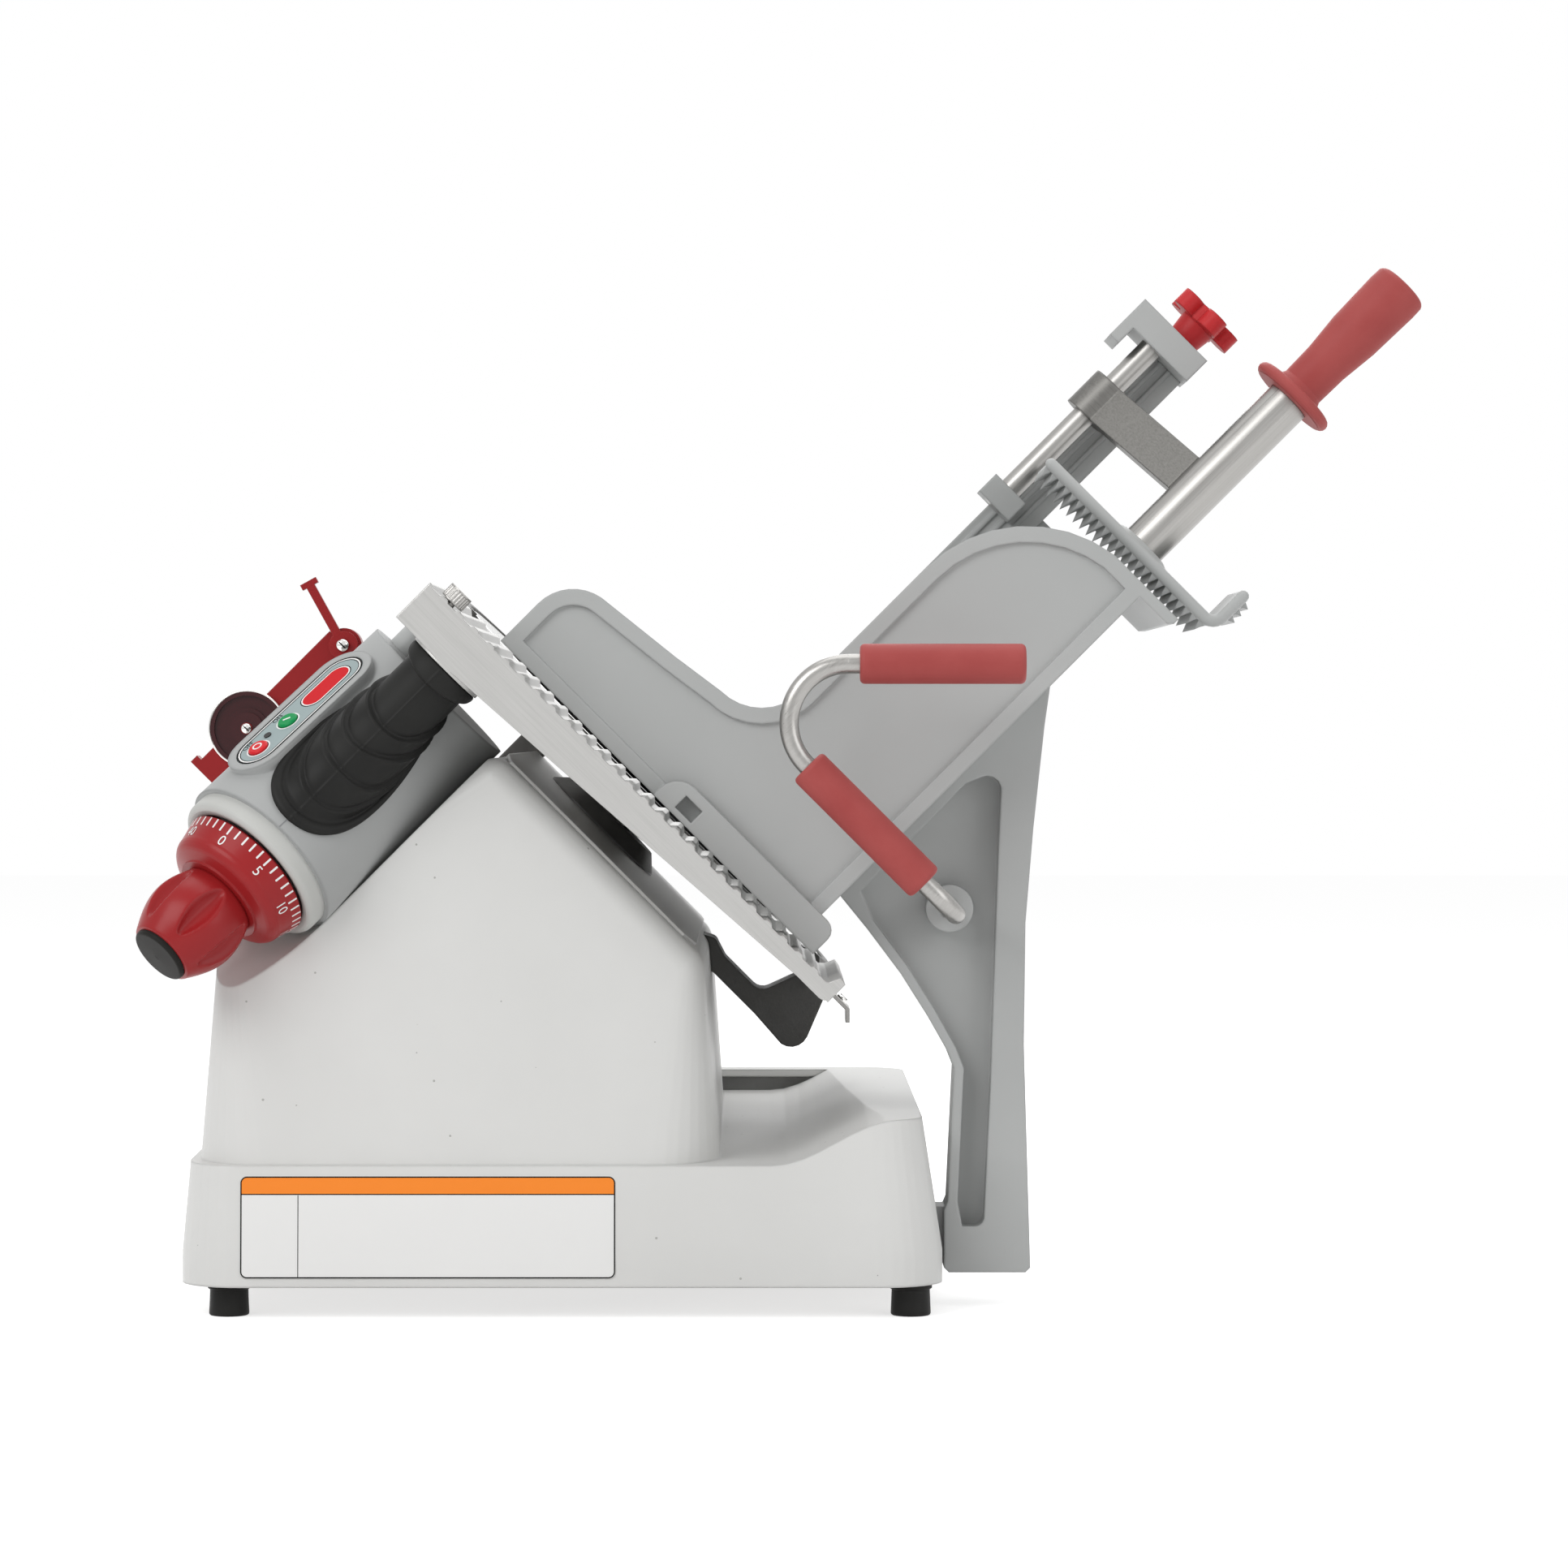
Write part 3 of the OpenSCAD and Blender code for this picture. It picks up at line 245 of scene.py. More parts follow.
def brushed_group():
    """Long fine lines: noise stretched by a vector after a turn about y."""
    group, given, made = shader_group(
        "brushed_lines", [("Stretch", VECTOR, (1.0, 1.0, 1.0)), ("Turn", FLOAT, 0.0)],
        [("Lines", FLOAT)])
    spot = add_node(group, "ShaderNodeTexCoord")
    turned = add_node(group, "ShaderNodeVectorRotate", rotation_type="Y_AXIS")
    group.links.new(spot.outputs["Object"], turned.inputs["Vector"])
    group.links.new(given.outputs["Turn"], turned.inputs["Angle"])
    scaled = add_node(group, "ShaderNodeVectorMath", operation="MULTIPLY")
    group.links.new(turned.outputs[0], scaled.inputs[0])
    group.links.new(given.outputs["Stretch"], scaled.inputs[1])
    noise = add_node(group, "ShaderNodeTexNoise")
    noise.inputs["Scale"].default_value = 1.0
    noise.inputs["Detail"].default_value = 5.0
    noise.inputs["Roughness"].default_value = 0.65
    group.links.new(scaled.outputs[0], noise.inputs["Vector"])
    group.links.new(noise.outputs["Fac"], made.inputs["Lines"])
    return group


def rubbed_edge_group():
    """Where an outside edge is rubbed by hands and cloths, broken up by noise."""
    group, given, made = shader_group(
        "rubbed_edges", [("Width", FLOAT, 0.0012), ("Breakup", FLOAT, 60.0)], [("Mask", FLOAT)])
    soft = add_node(group, "ShaderNodeBevel", samples=4)
    group.links.new(given.outputs["Width"], soft.inputs["Radius"])
    true = add_node(group, "ShaderNodeNewGeometry")
    apart = add_node(group, "ShaderNodeVectorMath", operation="DOT_PRODUCT")
    group.links.new(soft.outputs[0], apart.inputs[0])
    group.links.new(true.outputs["Normal"], apart.inputs[1])
    edge = add_node(group, "ShaderNodeMapRange")
    edge.inputs["From Min"].default_value = 0.995
    edge.inputs["From Max"].default_value = 0.9
    group.links.new(apart.outputs["Value"], edge.inputs["Value"])
    spot = add_node(group, "ShaderNodeTexCoord")
    noise = add_node(group, "ShaderNodeTexNoise")
    group.links.new(spot.outputs["Object"], noise.inputs["Vector"])
    group.links.new(given.outputs["Breakup"], noise.inputs["Scale"])
    both = add_node(group, "ShaderNodeMath", operation="MULTIPLY")
    group.links.new(edge.outputs[0], both.inputs[0])
    group.links.new(noise.outputs["Fac"], both.inputs[1])
    group.links.new(both.outputs[0], made.inputs["Mask"])
    return group


GRAIN = grain_group()
SPECKS = speck_group()
BRUSHED = brushed_group()
RUBBED = rubbed_edge_group()


# Finishes


def put_group(tree, group, **values):
    node = add_node(tree, "ShaderNodeGroup", node_tree=group)
    for label, value in values.items():
        node.inputs[label.replace("_", " ")].default_value = value
    return node


def mix_colours(tree, factor, low, high):
    mix = add_node(tree, "ShaderNodeMix", data_type="RGBA")
    tree.links.new(factor, mix.inputs["Factor"])
    for socket, colour in ((mix.inputs["A"], low), (mix.inputs["B"], high)):
        if isinstance(colour, tuple):
            socket.default_value = (*colour, 1.0)
        else:
            tree.links.new(colour, socket)
    return mix.outputs["Result"]


def spread(tree, value, low, high):
    """A noise value laid between two roughnesses."""
    node = add_node(tree, "ShaderNodeMapRange")
    node.inputs["From Min"].default_value = 0.3
    node.inputs["From Max"].default_value = 0.7
    node.inputs["To Min"].default_value = low
    node.inputs["To Max"].default_value = high
    tree.links.new(value, node.inputs["Value"])
    return node.outputs[0]


def finish(name, low, high, rough, grain=900.0, depth=0.0001, strength=0.15, drift=6.0,
           metal=0.0, specular=0.5, soft=0.0, lines=None, specks=None, rubbed=None):
    """A surface: drifting tone between two colours, a roughness range and fine height.

    soft eases edges by that radius; lines brush it, specks dot it and rubbed wears its edges.
    """
    material = bpy.data.materials.new(name)
    material.use_nodes = True
    tree = material.node_tree
    shader = tree.nodes["Principled BSDF"]
    shader.inputs["Metallic"].default_value = metal
    shader.inputs["Specular IOR Level"].default_value = specular
    surface = put_group(tree, GRAIN, Scale=grain, Drift_Scale=drift)
    tone, height = surface.outputs["Drift"], surface.outputs["Height"]
    sheen = tone
    if lines:
        streaks = put_group(tree, BRUSHED, Stretch=lines[0], Turn=lines[1])
        height = streaks.outputs["Lines"]
        sheen = height
        tone = height
    colour = mix_colours(tree, spread(tree, tone, 0.0, 1.0), low, high)
    if specks:
        dots = put_group(tree, SPECKS, Scale=specks[0], Size=specks[1], Share=specks[2])
        colour = mix_colours(tree, dots.outputs["Mask"], colour, specks[3])
    if rubbed:
        edges = put_group(tree, RUBBED, Width=rubbed[0], Breakup=rubbed[1])
        colour = mix_colours(tree, edges.outputs["Mask"], colour, rubbed[2])
    tree.links.new(colour, shader.inputs["Base Color"])
    tree.links.new(spread(tree, sheen, *rough), shader.inputs["Roughness"])
    bump = add_node(tree, "ShaderNodeBump")
    bump.inputs["Strength"].default_value = strength
    bump.inputs["Distance"].default_value = depth
    tree.links.new(height, bump.inputs["Height"])
    if soft:
        eased = add_node(tree, "ShaderNodeBevel", samples=6)
        eased.inputs["Radius"].default_value = soft
        tree.links.new(eased.outputs[0], bump.inputs["Normal"])
    tree.links.new(bump.outputs[0], shader.inputs["Normal"])
    return material


SLOPED_LINES = math.radians(-SLOPE_DEG)
FINISHES = {
    "white_coat": finish("white_powder_coat", (0.67, 0.67, 0.655), (0.72, 0.72, 0.705), (0.36, 0.48),
                         grain=1400, depth=0.00012, strength=0.18, specular=0.4, soft=0.003,
                         specks=(95, 0.075, 0.86, (0.42, 0.42, 0.40))),
    "grey_coat": finish("grey_casting_coat", (0.42, 0.43, 0.425), (0.46, 0.47, 0.465), (0.4, 0.52),
                        grain=1100, depth=0.0001, strength=0.14, specular=0.35, soft=0.0022,
                        rubbed=(0.0014, 40, (0.56, 0.57, 0.57))),
    "housing_plastic": finish("moulded_housing", (0.355, 0.363, 0.36), (0.385, 0.393, 0.39), (0.42, 0.54),
                              grain=2200, depth=0.00006, strength=0.2, specular=0.35, soft=0.004),
    "ring_plastic": finish("dial_ring_moulding", (0.48, 0.485, 0.465), (0.53, 0.535, 0.515), (0.4, 0.52),
                           grain=2000, depth=0.00005, specular=0.35),
    "red_plastic": finish("red_moulding", (0.29, 0.012, 0.014), (0.33, 0.017, 0.019), (0.24, 0.34),
                          grain=1500, depth=0.00005, specular=0.22, soft=0.0012),
    "black_rubber": finish("black_rubber", (0.011, 0.011, 0.0105), (0.02, 0.02, 0.019), (0.42, 0.56),
                           grain=700, depth=0.00012, strength=0.25, drift=30, specular=0.14),
    "black_plastic": finish("black_moulding", (0.016, 0.015, 0.014), (0.026, 0.025, 0.023), (0.36, 0.5),
                            grain=1600, depth=0.00008, strength=0.25, specular=0.06),
    "stainless": finish("brushed_stainless", (0.31, 0.303, 0.29), (0.38, 0.372, 0.36), (0.26, 0.38),
                        metal=1.0, depth=0.00004, strength=0.2, soft=0.001,
                        lines=((900.0, 900.0, 14.0), SLOPED_LINES)),
    "gauge_alloy": finish("anodised_alloy", (0.44, 0.437, 0.425), (0.50, 0.496, 0.484), (0.34, 0.46),
                          metal=0.6, depth=0.00003, strength=0.15, soft=0.0015,
                          lines=((20.0, 1400.0, 1400.0), SLOPED_LINES)),
    "dark_cast": finish("dark_casting", (0.045, 0.044, 0.041), (0.08, 0.078, 0.073), (0.34, 0.56),
                        grain=420, depth=0.0003, strength=0.35, drift=45, specular=0.5, soft=0.002,
                        rubbed=(0.0015, 70, (0.16, 0.155, 0.145))),
    "knife_steel": finish("ground_knife_steel", (0.52, 0.52, 0.51), (0.60, 0.60, 0.59), (0.14, 0.26),
                          metal=1.0, depth=0.00002, strength=0.1,
                          lines=((30.0, 900.0, 900.0), SLOPED_LINES)),
    "inner_steel": finish("machined_steel", (0.27, 0.262, 0.25), (0.36, 0.35, 0.335), (0.2, 0.36),
                          metal=1.0, depth=0.00003, strength=0.18,
                          lines=((60.0, 60.0, 2600.0), SLOPED_LINES)),
    "bronze": finish("bearing_bronze", (0.42, 0.27, 0.11), (0.52, 0.35, 0.16), (0.3, 0.45), metal=1.0),
    "panel_film": finish("panel_film", (0.29, 0.36, 0.365), (0.31, 0.38, 0.385), (0.4, 0.5),
                         grain=2600, depth=0.00003, specular=0.3),
    "green_button": finish("green_key", (0.002, 0.25, 0.065), (0.003, 0.28, 0.078), (0.34, 0.42), grain=2600,
                           specular=0.15),
    "red_button": finish("red_key", (0.60, 0.016, 0.022), (0.66, 0.02, 0.027), (0.34, 0.42), grain=2600,
                         specular=0.15),
    "lamp_lens": finish("smoked_lens", (0.02, 0.02, 0.02), (0.03, 0.03, 0.03), (0.2, 0.3), specular=0.2),
    "maroon_plastic": finish("maroon_moulding", (0.04, 0.006, 0.008), (0.055, 0.009, 0.011), (0.14, 0.22),
                             specular=0.3),
}
ARM_STEEL = finish("cast_arm_steel", (0.13, 0.127, 0.12), (0.18, 0.176, 0.167), (0.34, 0.5),
                   metal=1.0, depth=0.00004, strength=0.2, soft=0.002,
                   lines=((60.0, 900.0, 900.0), SLOPED_LINES))
GRIP_RED = finish("red_dipped_grip", (0.35, 0.06, 0.057), (0.41, 0.085, 0.08), (0.48, 0.62),
                  grain=800, depth=0.00015, strength=0.25, drift=25, specular=0.2, soft=0.002,
                  rubbed=(0.002, 30, (0.48, 0.12, 0.12)))
STAR_RED = finish("red_star_moulding", (0.50, 0.026, 0.03), (0.56, 0.034, 0.038), (0.36, 0.5), grain=1400,
                  specular=0.2, soft=0.0025)
PRINT_WHITE = finish("white_print", (0.80, 0.80, 0.79), (0.84, 0.84, 0.83), (0.4, 0.5), grain=2600)
# Near-black for print, and also for the bars on the screw heads, where it is painted shade in their slots
DARK_PRINT_AND_SLOT_SHADE = finish("dark_print_and_slot_shade", (0.014, 0.014, 0.014), (0.02, 0.02, 0.02), (0.5, 0.6), grain=2600,
                    specular=0.04)
PRINT_RED = finish("red_print", (0.56, 0.016, 0.022), (0.61, 0.02, 0.026), (0.4, 0.5), grain=2600,
                   specular=0.06)
PRINT_ORANGE = finish("orange_print", (0.92, 0.23, 0.006), (0.95, 0.26, 0.01), (0.36, 0.44), grain=2600)
CHROME = finish("bright_chrome", (0.70, 0.69, 0.67), (0.76, 0.75, 0.73), (0.07, 0.16), metal=1.0)
GROOVE_GREY = finish("parting_groove", (0.20, 0.205, 0.21), (0.23, 0.235, 0.24), (0.5, 0.6))


def dress_cad():
    """Each CAD node takes the finish of its slot, apart from a few with their own."""
    slots = {row["node"]: row["material_slot"] for row in frame["record"]["subparts"]}
    special = {"handle_grips": GRIP_RED, "star_knob": STAR_RED, "pusher_arm": ARM_STEEL,
               "pusher_grip": GRIP_RED}
    for name, node in nodes.items():
        node.data.materials.clear()
        node.data.materials.append(special.get(name, FINISHES[slots[name]]))


dress_cad()


# Rubber boot over the gauge plate's arm

HOUSING_R = 55.0
HOUSING_TOP = 129.0
TILT = math.radians(INDEX_TILT)
BOOT_T = -422.0
BOOT_Y = -259.0
BOOT_TOP = 145.5
BOOT_NECK_R = 21.4
BOOT_ROWS = 110
BOOT_LINES = 96
COLLAR_R = 25.6
COLLAR_LOW = 141.0
COLLAR_DROP = 9.0
# Lip as (radius, lift off the housing), and steps as (share of the height, added radius)
BOOT_LIP = ((31.0, -1.5), (31.0, 2.2), (30.2, 3.6), (28.8, 3.8), (27.6, 2.8), (26.8, 1.4))
BOOT_STEPS = ((0.66, 2.4), (0.46, 2.0), (0.27, 1.4), (0.12, 0.6))
STEP_EDGE = 0.012
STEP_BULGE = 1.5


def smooth_step(u):
    u = min(1.0, max(0.0, u))
    return u * u * (3 - 2 * u)


def on_housing(angle, r, lift):
    """The point of the housing r out from the boot's middle, lifted square to the face."""
    t = BOOT_T + r * math.cos(angle)
    y = BOOT_Y + r * math.sin(angle)
    across = t - INDEX_T
    deep = y - INDEX_Y
    inside = -math.sqrt(HOUSING_R ** 2 - across ** 2)
    n = min((math.cos(TILT) * deep - inside) / math.sin(TILT) + INDEX_N, HOUSING_TOP)
    out = lift / HOUSING_R
    return (t + across * out, y + inside * math.cos(TILT) * out, n - inside * math.sin(TILT) * out)


def boot_radius(s, angle):
    """Slack rubber that has sunk into overlapping steps below a plain neck."""
    r = BOOT_NECK_R
    for k, (edge, drop) in enumerate(BOOT_STEPS):
        wander = 0.030 * math.sin(angle + 0.9 + 1.7 * k) + 0.018 * math.sin(2 * angle + 2.3 * k)
        below = edge + wander - s
        past = smooth_step((below + STEP_EDGE) / (2 * STEP_EDGE))
        r += drop * past
        r += STEP_BULGE * math.exp(-max(below, 0.0) / 0.035) * past
        r -= math.exp(-(max(-below, 0.0) / 0.03) ** 2) * smooth_step(-below / STEP_EDGE)
    return r


def boot_ring(angle):
    """One line of points from the lip on the housing up to the collar under the plate."""
    line = [on_housing(angle, r, lift) for r, lift in BOOT_LIP]
    facing = max(0.0, -math.sin(angle))
    collar = COLLAR_LOW - COLLAR_DROP * facing
    low = min(on_housing(angle, 26.0, 1.4)[2] + 1.0, collar - 4)
    for i in range(1, BOOT_ROWS + 1):
        s = i / BOOT_ROWS
        line.append(ring_point(angle, boot_radius(s, angle), low + (collar - low) * s))
    for r, up in ((24.2, 0.2), (25.2, 0.8), (COLLAR_R, 2.0)):
        line.append(ring_point(angle, r, collar + up))
    for r, n in ((COLLAR_R, BOOT_TOP - 1.0), (25.0, BOOT_TOP), (12.0, BOOT_TOP)):
        line.append(ring_point(angle, r, n))
    return line


def ring_point(angle, r, n):
    return (BOOT_T + r * math.cos(angle), BOOT_Y + r * math.sin(angle), n)


def seam_lift(angle):
    """The moulding seam stands up a little along the front."""
    return 0.45 if abs(angle + math.pi / 2) < 0.012 else 0.0


def boot():
    """The boot stretches between the housing and the gauge plate, and hides the CAD's plain one."""
    front = -math.pi / 2
    angles = [front + math.tau * k / BOOT_LINES for k in range(1, BOOT_LINES)]
    angles += [front + a for a in (-0.03, -0.008, 0.008, 0.03)]
    angles.sort()
    lines = []
    for angle in angles:
        lift = seam_lift(angle)
        lines.append([(t + lift * math.cos(angle), y + lift * math.sin(angle), n)
                      for t, y, n in boot_ring(angle)])
    rows = len(lines[0])
    verts = [point for line in lines for point in line]
    faces = []
    for k in range(len(lines)):
        a, b = k * rows, (k + 1) % len(lines) * rows
        faces += [(a + i, b + i, b + i + 1, a + i + 1) for i in range(rows - 1)]
    mesh = bpy.data.meshes.new("folded_boot")
    mesh.from_pydata([SLOPE @ Vector(v) for v in verts], [], faces)
    for polygon in mesh.polygons:
        polygon.use_smooth = True
    mesh.materials.append(FINISHES["black_rubber"])
    piece = bpy.data.objects.new("folded_boot", mesh)
    bpy.context.scene.collection.objects.link(piece)
    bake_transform(piece)
    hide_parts("gauge_boot")


# Dial marks

UNIT_DEG = 8
UNITS = 45
ZERO_DEG = -31.5
TICK_FOOT = -14.3
TICK_LONG = 6.0
TICK_WIDE = 1.25
NUMBER_Z = -25.2
NUMBER_SIZE = 9.0
DRUM_BEND = -28


def drum_radius(z):
    """The drum tapers to its bend and then rounds off."""
    if z > DRUM_BEND:
        return 45.6 - (-14 - z) * 3.6 / 14
    return 34 + math.sqrt(64 - (DRUM_BEND - z) ** 2)


def wrapped(part, degrees, z0):
    """A flat part laid round the drum: x along the rim, y towards the ring, z out."""
    verts = []
    for x, y, z in part[0]:
        r = drum_radius(z0 + y)
        a = math.radians(degrees) + x / r
        verts.append(((r + z) * math.sin(a), -(r + z) * math.cos(a), z0 + y))
    return verts, part[1]


def raised(part, low, high):
    """A flat part's faces lifted to the high level; the points made at the low level get no faces."""
    count = len(part[0])
    verts = [(x, y, low) for x, y, z in part[0]] + [(x, y, high) for x, y, z in part[0]]
    tops = [tuple(i + count for i in face) for face in part[1]]
    return verts, tops


def dial_marks():
    """A tick for each unit round the drum, and a number at every fifth."""
    tick = slab(rounded_box(TICK_WIDE, TICK_LONG, 0.3, 2), -0.3, 0.14)
    ticks = [wrapped(tick, ZERO_DEG + UNIT_DEG * k, TICK_FOOT - TICK_LONG / 2) for k in range(UNITS)]
    numbers = []
    for value in range(0, UNITS, 5):
        digits = raised(lettering(str(value), NUMBER_SIZE), -0.3, 0.16)
        numbers.append(wrapped(digits, ZERO_DEG + UNIT_DEG * value, NUMBER_Z))
    add_mesh("dial_ticks", *join(*ticks), INDEX, PRINT_WHITE, "index_dial", smooth=False)
    add_mesh("dial_numbers", *join(*numbers), INDEX, PRINT_WHITE, "index_dial", smooth=False)


# Control panel

PANEL_TOP = 0.9
PANEL_LONG, PANEL_WIDE = 106.0, 31.0
KEY_TOP = 2.8
STOP_AT = -38.0
START_AT = -11.0
PILL_AT = 24
WORD_SIZE = 5.0
WORD_X = -10.6
# Prints reach this far below and above the face that they lie on
SUNK = 0.2
PROUD = 0.12


def circle(r, steps=40):
    return [(r * math.cos(math.tau * k / steps), r * math.sin(math.tau * k / steps)) for k in range(steps)]


def outline_band(length, width, outer, inner):
    """A printed band along a round-ended outline, between two insets."""
    outside = stadium(length - 2 * outer, width - 2 * outer)
    inside = stadium(length - 2 * inner, width - 2 * inner)
    return band(outside, inside, PANEL_TOP - SUNK, PANEL_TOP + PROUD)


def panel_prints():
    """Outlines, a blank pill and the switch words on the film, and the marks on the keys."""
    dark = [outline_band(PANEL_LONG, PANEL_WIDE, 0.05, 1.3), outline_band(PANEL_LONG, PANEL_WIDE, 2.3, 2.9)]
    white = [outline_band(PANEL_LONG, PANEL_WIDE, 1.3, 2.3)]
    pill_at = move(0, PILL_AT, 0)
    dark.append(moved(outline_band(41.0, 18.4, 0.0, 0.7), pill_at))
    white.append(moved(outline_band(39.6, 17.0, 0.0, 1.0), pill_at))
    for at in (STOP_AT, START_AT):
        ring = band(circle(8.0), circle(7.1), PANEL_TOP - SUNK, PANEL_TOP + PROUD)
        white.append(moved(ring, move(0, at, 0)))
    for word, at in (("OFF", STOP_AT), ("ON", START_AT)):
        letters = raised(lettering(word, WORD_SIZE), PANEL_TOP - SUNK, PANEL_TOP + PROUD)
        dark.append(moved(letters, move(WORD_X, at, 0) @ turn("Z", 90)))
    pill = moved(slab(stadium(37.6, 15.0), PANEL_TOP - SUNK, PANEL_TOP + 0.14), pill_at)
    add_mesh("panel_dark_print", *join(*dark), PANEL, DARK_PRINT_AND_SLOT_SHADE, "base", smooth=False)
    add_mesh("panel_white_print", *join(*white), PANEL, PRINT_WHITE, "base", smooth=False)
    add_mesh("panel_pill", *pill, PANEL, PRINT_RED, "base", smooth=False)
    bar = moved(slab(rounded_box(1.3, 5.2, 0.4, 3), KEY_TOP - SUNK, KEY_TOP + PROUD),
                move(0, START_AT, 0) @ turn("Z", -45))
    add_mesh("start_mark", *bar, PANEL, PRINT_WHITE, "start", smooth=False)
    ring = moved(band(circle(3.3), circle(2.3), KEY_TOP - SUNK, KEY_TOP + PROUD), move(0, STOP_AT, 0))
    add_mesh("stop_mark", *ring, PANEL, PRINT_WHITE, "stop", smooth=False)


# Bare plate on the skirt

SKIRT_LEAN = 2.1
SKIRT_FACE = MACHINE @ move(-206.5, -250, 40) @ turn("X", 90 - SKIRT_LEAN) @ move(0, 17.3, 0)


def skirt_plate():
    """A bare plate: white field, thin outline and divider, and a coloured header band."""
    width, height, r = 231.0, 62.6, 4.0
    header = 11.0
    field = slab(rounded_box(width, height, r), -1.2, 0.22)
    add_mesh("skirt_plate", *field, SKIRT_FACE, PRINT_WHITE, "base", smooth=False)
    rim = band(rounded_box(width, height, r), rounded_box(width - 1.6, height - 1.6, r - 0.8), -0.2, 0.3)
    low = height / 2 - header
    under = moved(slab(rounded_box(width - 1.0, 0.7, 0.2, 2), 0.0, 0.3), move(0, low, 0))
    divider = moved(slab(rounded_box(0.5, height - header - 1.0, 0.2, 2), 0.0, 0.28),
                    move(-80, -header / 2, 0))
    lines = join(rim, under, divider)
    add_mesh("skirt_plate_lines", *lines, SKIRT_FACE, DARK_PRINT_AND_SLOT_SHADE, "base", smooth=False)
    top = [(x, y) for x, y in rounded_box(width - 1.6, height - 1.6, r - 0.8) if y > low]
    head = slab(top + [(-width / 2 + 0.8, low), (width / 2 - 0.8, low)], 0.0, 0.27)
    add_mesh("skirt_plate_header", *head, SKIRT_FACE, PRINT_ORANGE, "base", smooth=False)


# Trim and fasteners

KNIFE_T, KNIFE_Y = -288.0, 60.0
TRIM_HOLE_R = 47.3
TRIM_POINTS = 96
PARTING_R = 55.06
PARTING_TURN = 0.06
WHEEL_T, WHEEL_N = -506, 10


def face_trim():
    """Bright sheet on the sloping face, with a hole for the knife's bearing housing."""
    t0, t1, y0, y1 = -360.0, -192.0, -224.0, 210.0
    outer, inner = [], []
    for k in range(TRIM_POINTS):
        a = math.tau * (k + 0.5) / TRIM_POINTS
        c, s = math.cos(a), math.sin(a)
        reach_t = ((t1 if c > 0 else t0) - KNIFE_T) / c
        reach_y = ((y1 if s > 0 else y0) - KNIFE_Y) / s
        r = min(reach_t, reach_y)
        outer.append((KNIFE_T + r * c, KNIFE_Y + r * s))
        inner.append((KNIFE_T + TRIM_HOLE_R * c, KNIFE_Y + TRIM_HOLE_R * s))
    add_mesh("face_trim", *band(outer, inner, 131.2, 133.4), SLOPE, FINISHES["gauge_alloy"], "base",
             "gauge_alloy", smooth=False)


def parting_line():
    """Fine parting groove of the housing, from the dial ring up to the boot."""
    verts = []
    steps = 12
    for i in range(steps + 1):
        z = 0.5 + 40.0 * i / steps
        for side in (-0.008, 0.008):
            a = side - PARTING_TURN
            verts.append((PARTING_R * math.sin(a), -PARTING_R * math.cos(a), z))
    faces = [(2 * i, 2 * i + 1, 2 * i + 3, 2 * i + 2) for i in range(steps)]
    add_mesh("housing_parting", verts, faces, INDEX, GROOVE_GREY, "base", smooth=False)


def screw_head(r):
    """A pan head standing on z, with a dark bar across its dome as painted shade of its slot."""
    rise = [(r, -0.4), (r, r * 0.25), (r * 0.86, r * 0.48), (r * 0.5, r * 0.6), (0.001, r * 0.63)]
    dome = lathe(rise, 28)
    # The slot is not cut: this dark bar stands a little proud of the dome and is painted shade of the recess
    slot = slab(rounded_box(r * 1.5, r * 0.24, r * 0.08, 2), r * 0.3, r * 0.66)
    return dome, slot


def fasteners():
    """Pan heads that face the front or stand on the slope."""
    along_front = turn("X", 90)
    places = (
        ("sharpener_screw", SLOPE @ move(-500, 59.8, 96) @ along_front, 4.2, "base"),
        ("sharpener_wheel_screw", SLOPE @ move(WHEEL_T, 56.8, WHEEL_N) @ along_front, 3.6, "base"),
        ("guard_plate_screw", SLOPE @ move(-90, 60, 165.6), 4.0, "base"),
    )
    for name, place, r, body in places:
        dome, slot = screw_head(r)
        add_mesh(name, *dome, place, CHROME, body)
        # Each head's dark bar is painted shade of its slot, not print
        add_mesh(name + "_slot", *slot, place, DARK_PRINT_AND_SLOT_SHADE, body, smooth=False)


def wheel_rim():
    """Bright rim round the sharpener's wheel."""
    section = [(25.0, 8.6), (25.6, 9.4), (26.4, 9.2), (26.6, 8.0), (26.6, 1.0), (26.2, 0.4), (25.6, 0.6)]
    place = SLOPE @ move(WHEEL_T, 71.6, WHEEL_N) @ turn("X", 90)
    add_mesh("sharpener_wheel_rim", *lathe(section, 72), place, CHROME, "sharpener_disc")


def star_stud():
    """Bright threaded stud that shows between the star knob and its bracket."""
    profile = []
    turns = 5
    for i in range(turns * 2 + 1):
        profile.append((4.5 if i % 2 else 5.2, 637.05 + 0.35 * i / (turns * 2)))
    add_mesh("star_stud", *lathe(profile, 32), SLOPE @ move(-243, -4, 0), CHROME, "rail_knob")


# Index knob

KNOB_FROM, KNOB_TO = -39.0, -90.0
KNOB_NECK_R = 25
KNOB_SWELL = 6.5
KNOB_FLUTES = 6
FLUTE_DEPTH = 6.4


def knob_radius(u, angle):
    """Egg-shaped body with leaf-shaped flutes that run out at both ends."""
    plain = KNOB_NECK_R + KNOB_SWELL * math.sin(math.pi * u) - 3.5 * u * u
    pitch = math.tau / KNOB_FLUTES
    off = angle % pitch - pitch / 2
    leaf = math.sin(math.pi * min(max((u - 0.10) / 0.78, 0.0), 1.0)) ** 0.5
    half = 0.02 + 0.23 * leaf
    dip = max(0.0, 1 - (off / half) ** 2)
    return plain - FLUTE_DEPTH * leaf * dip ** 0.75


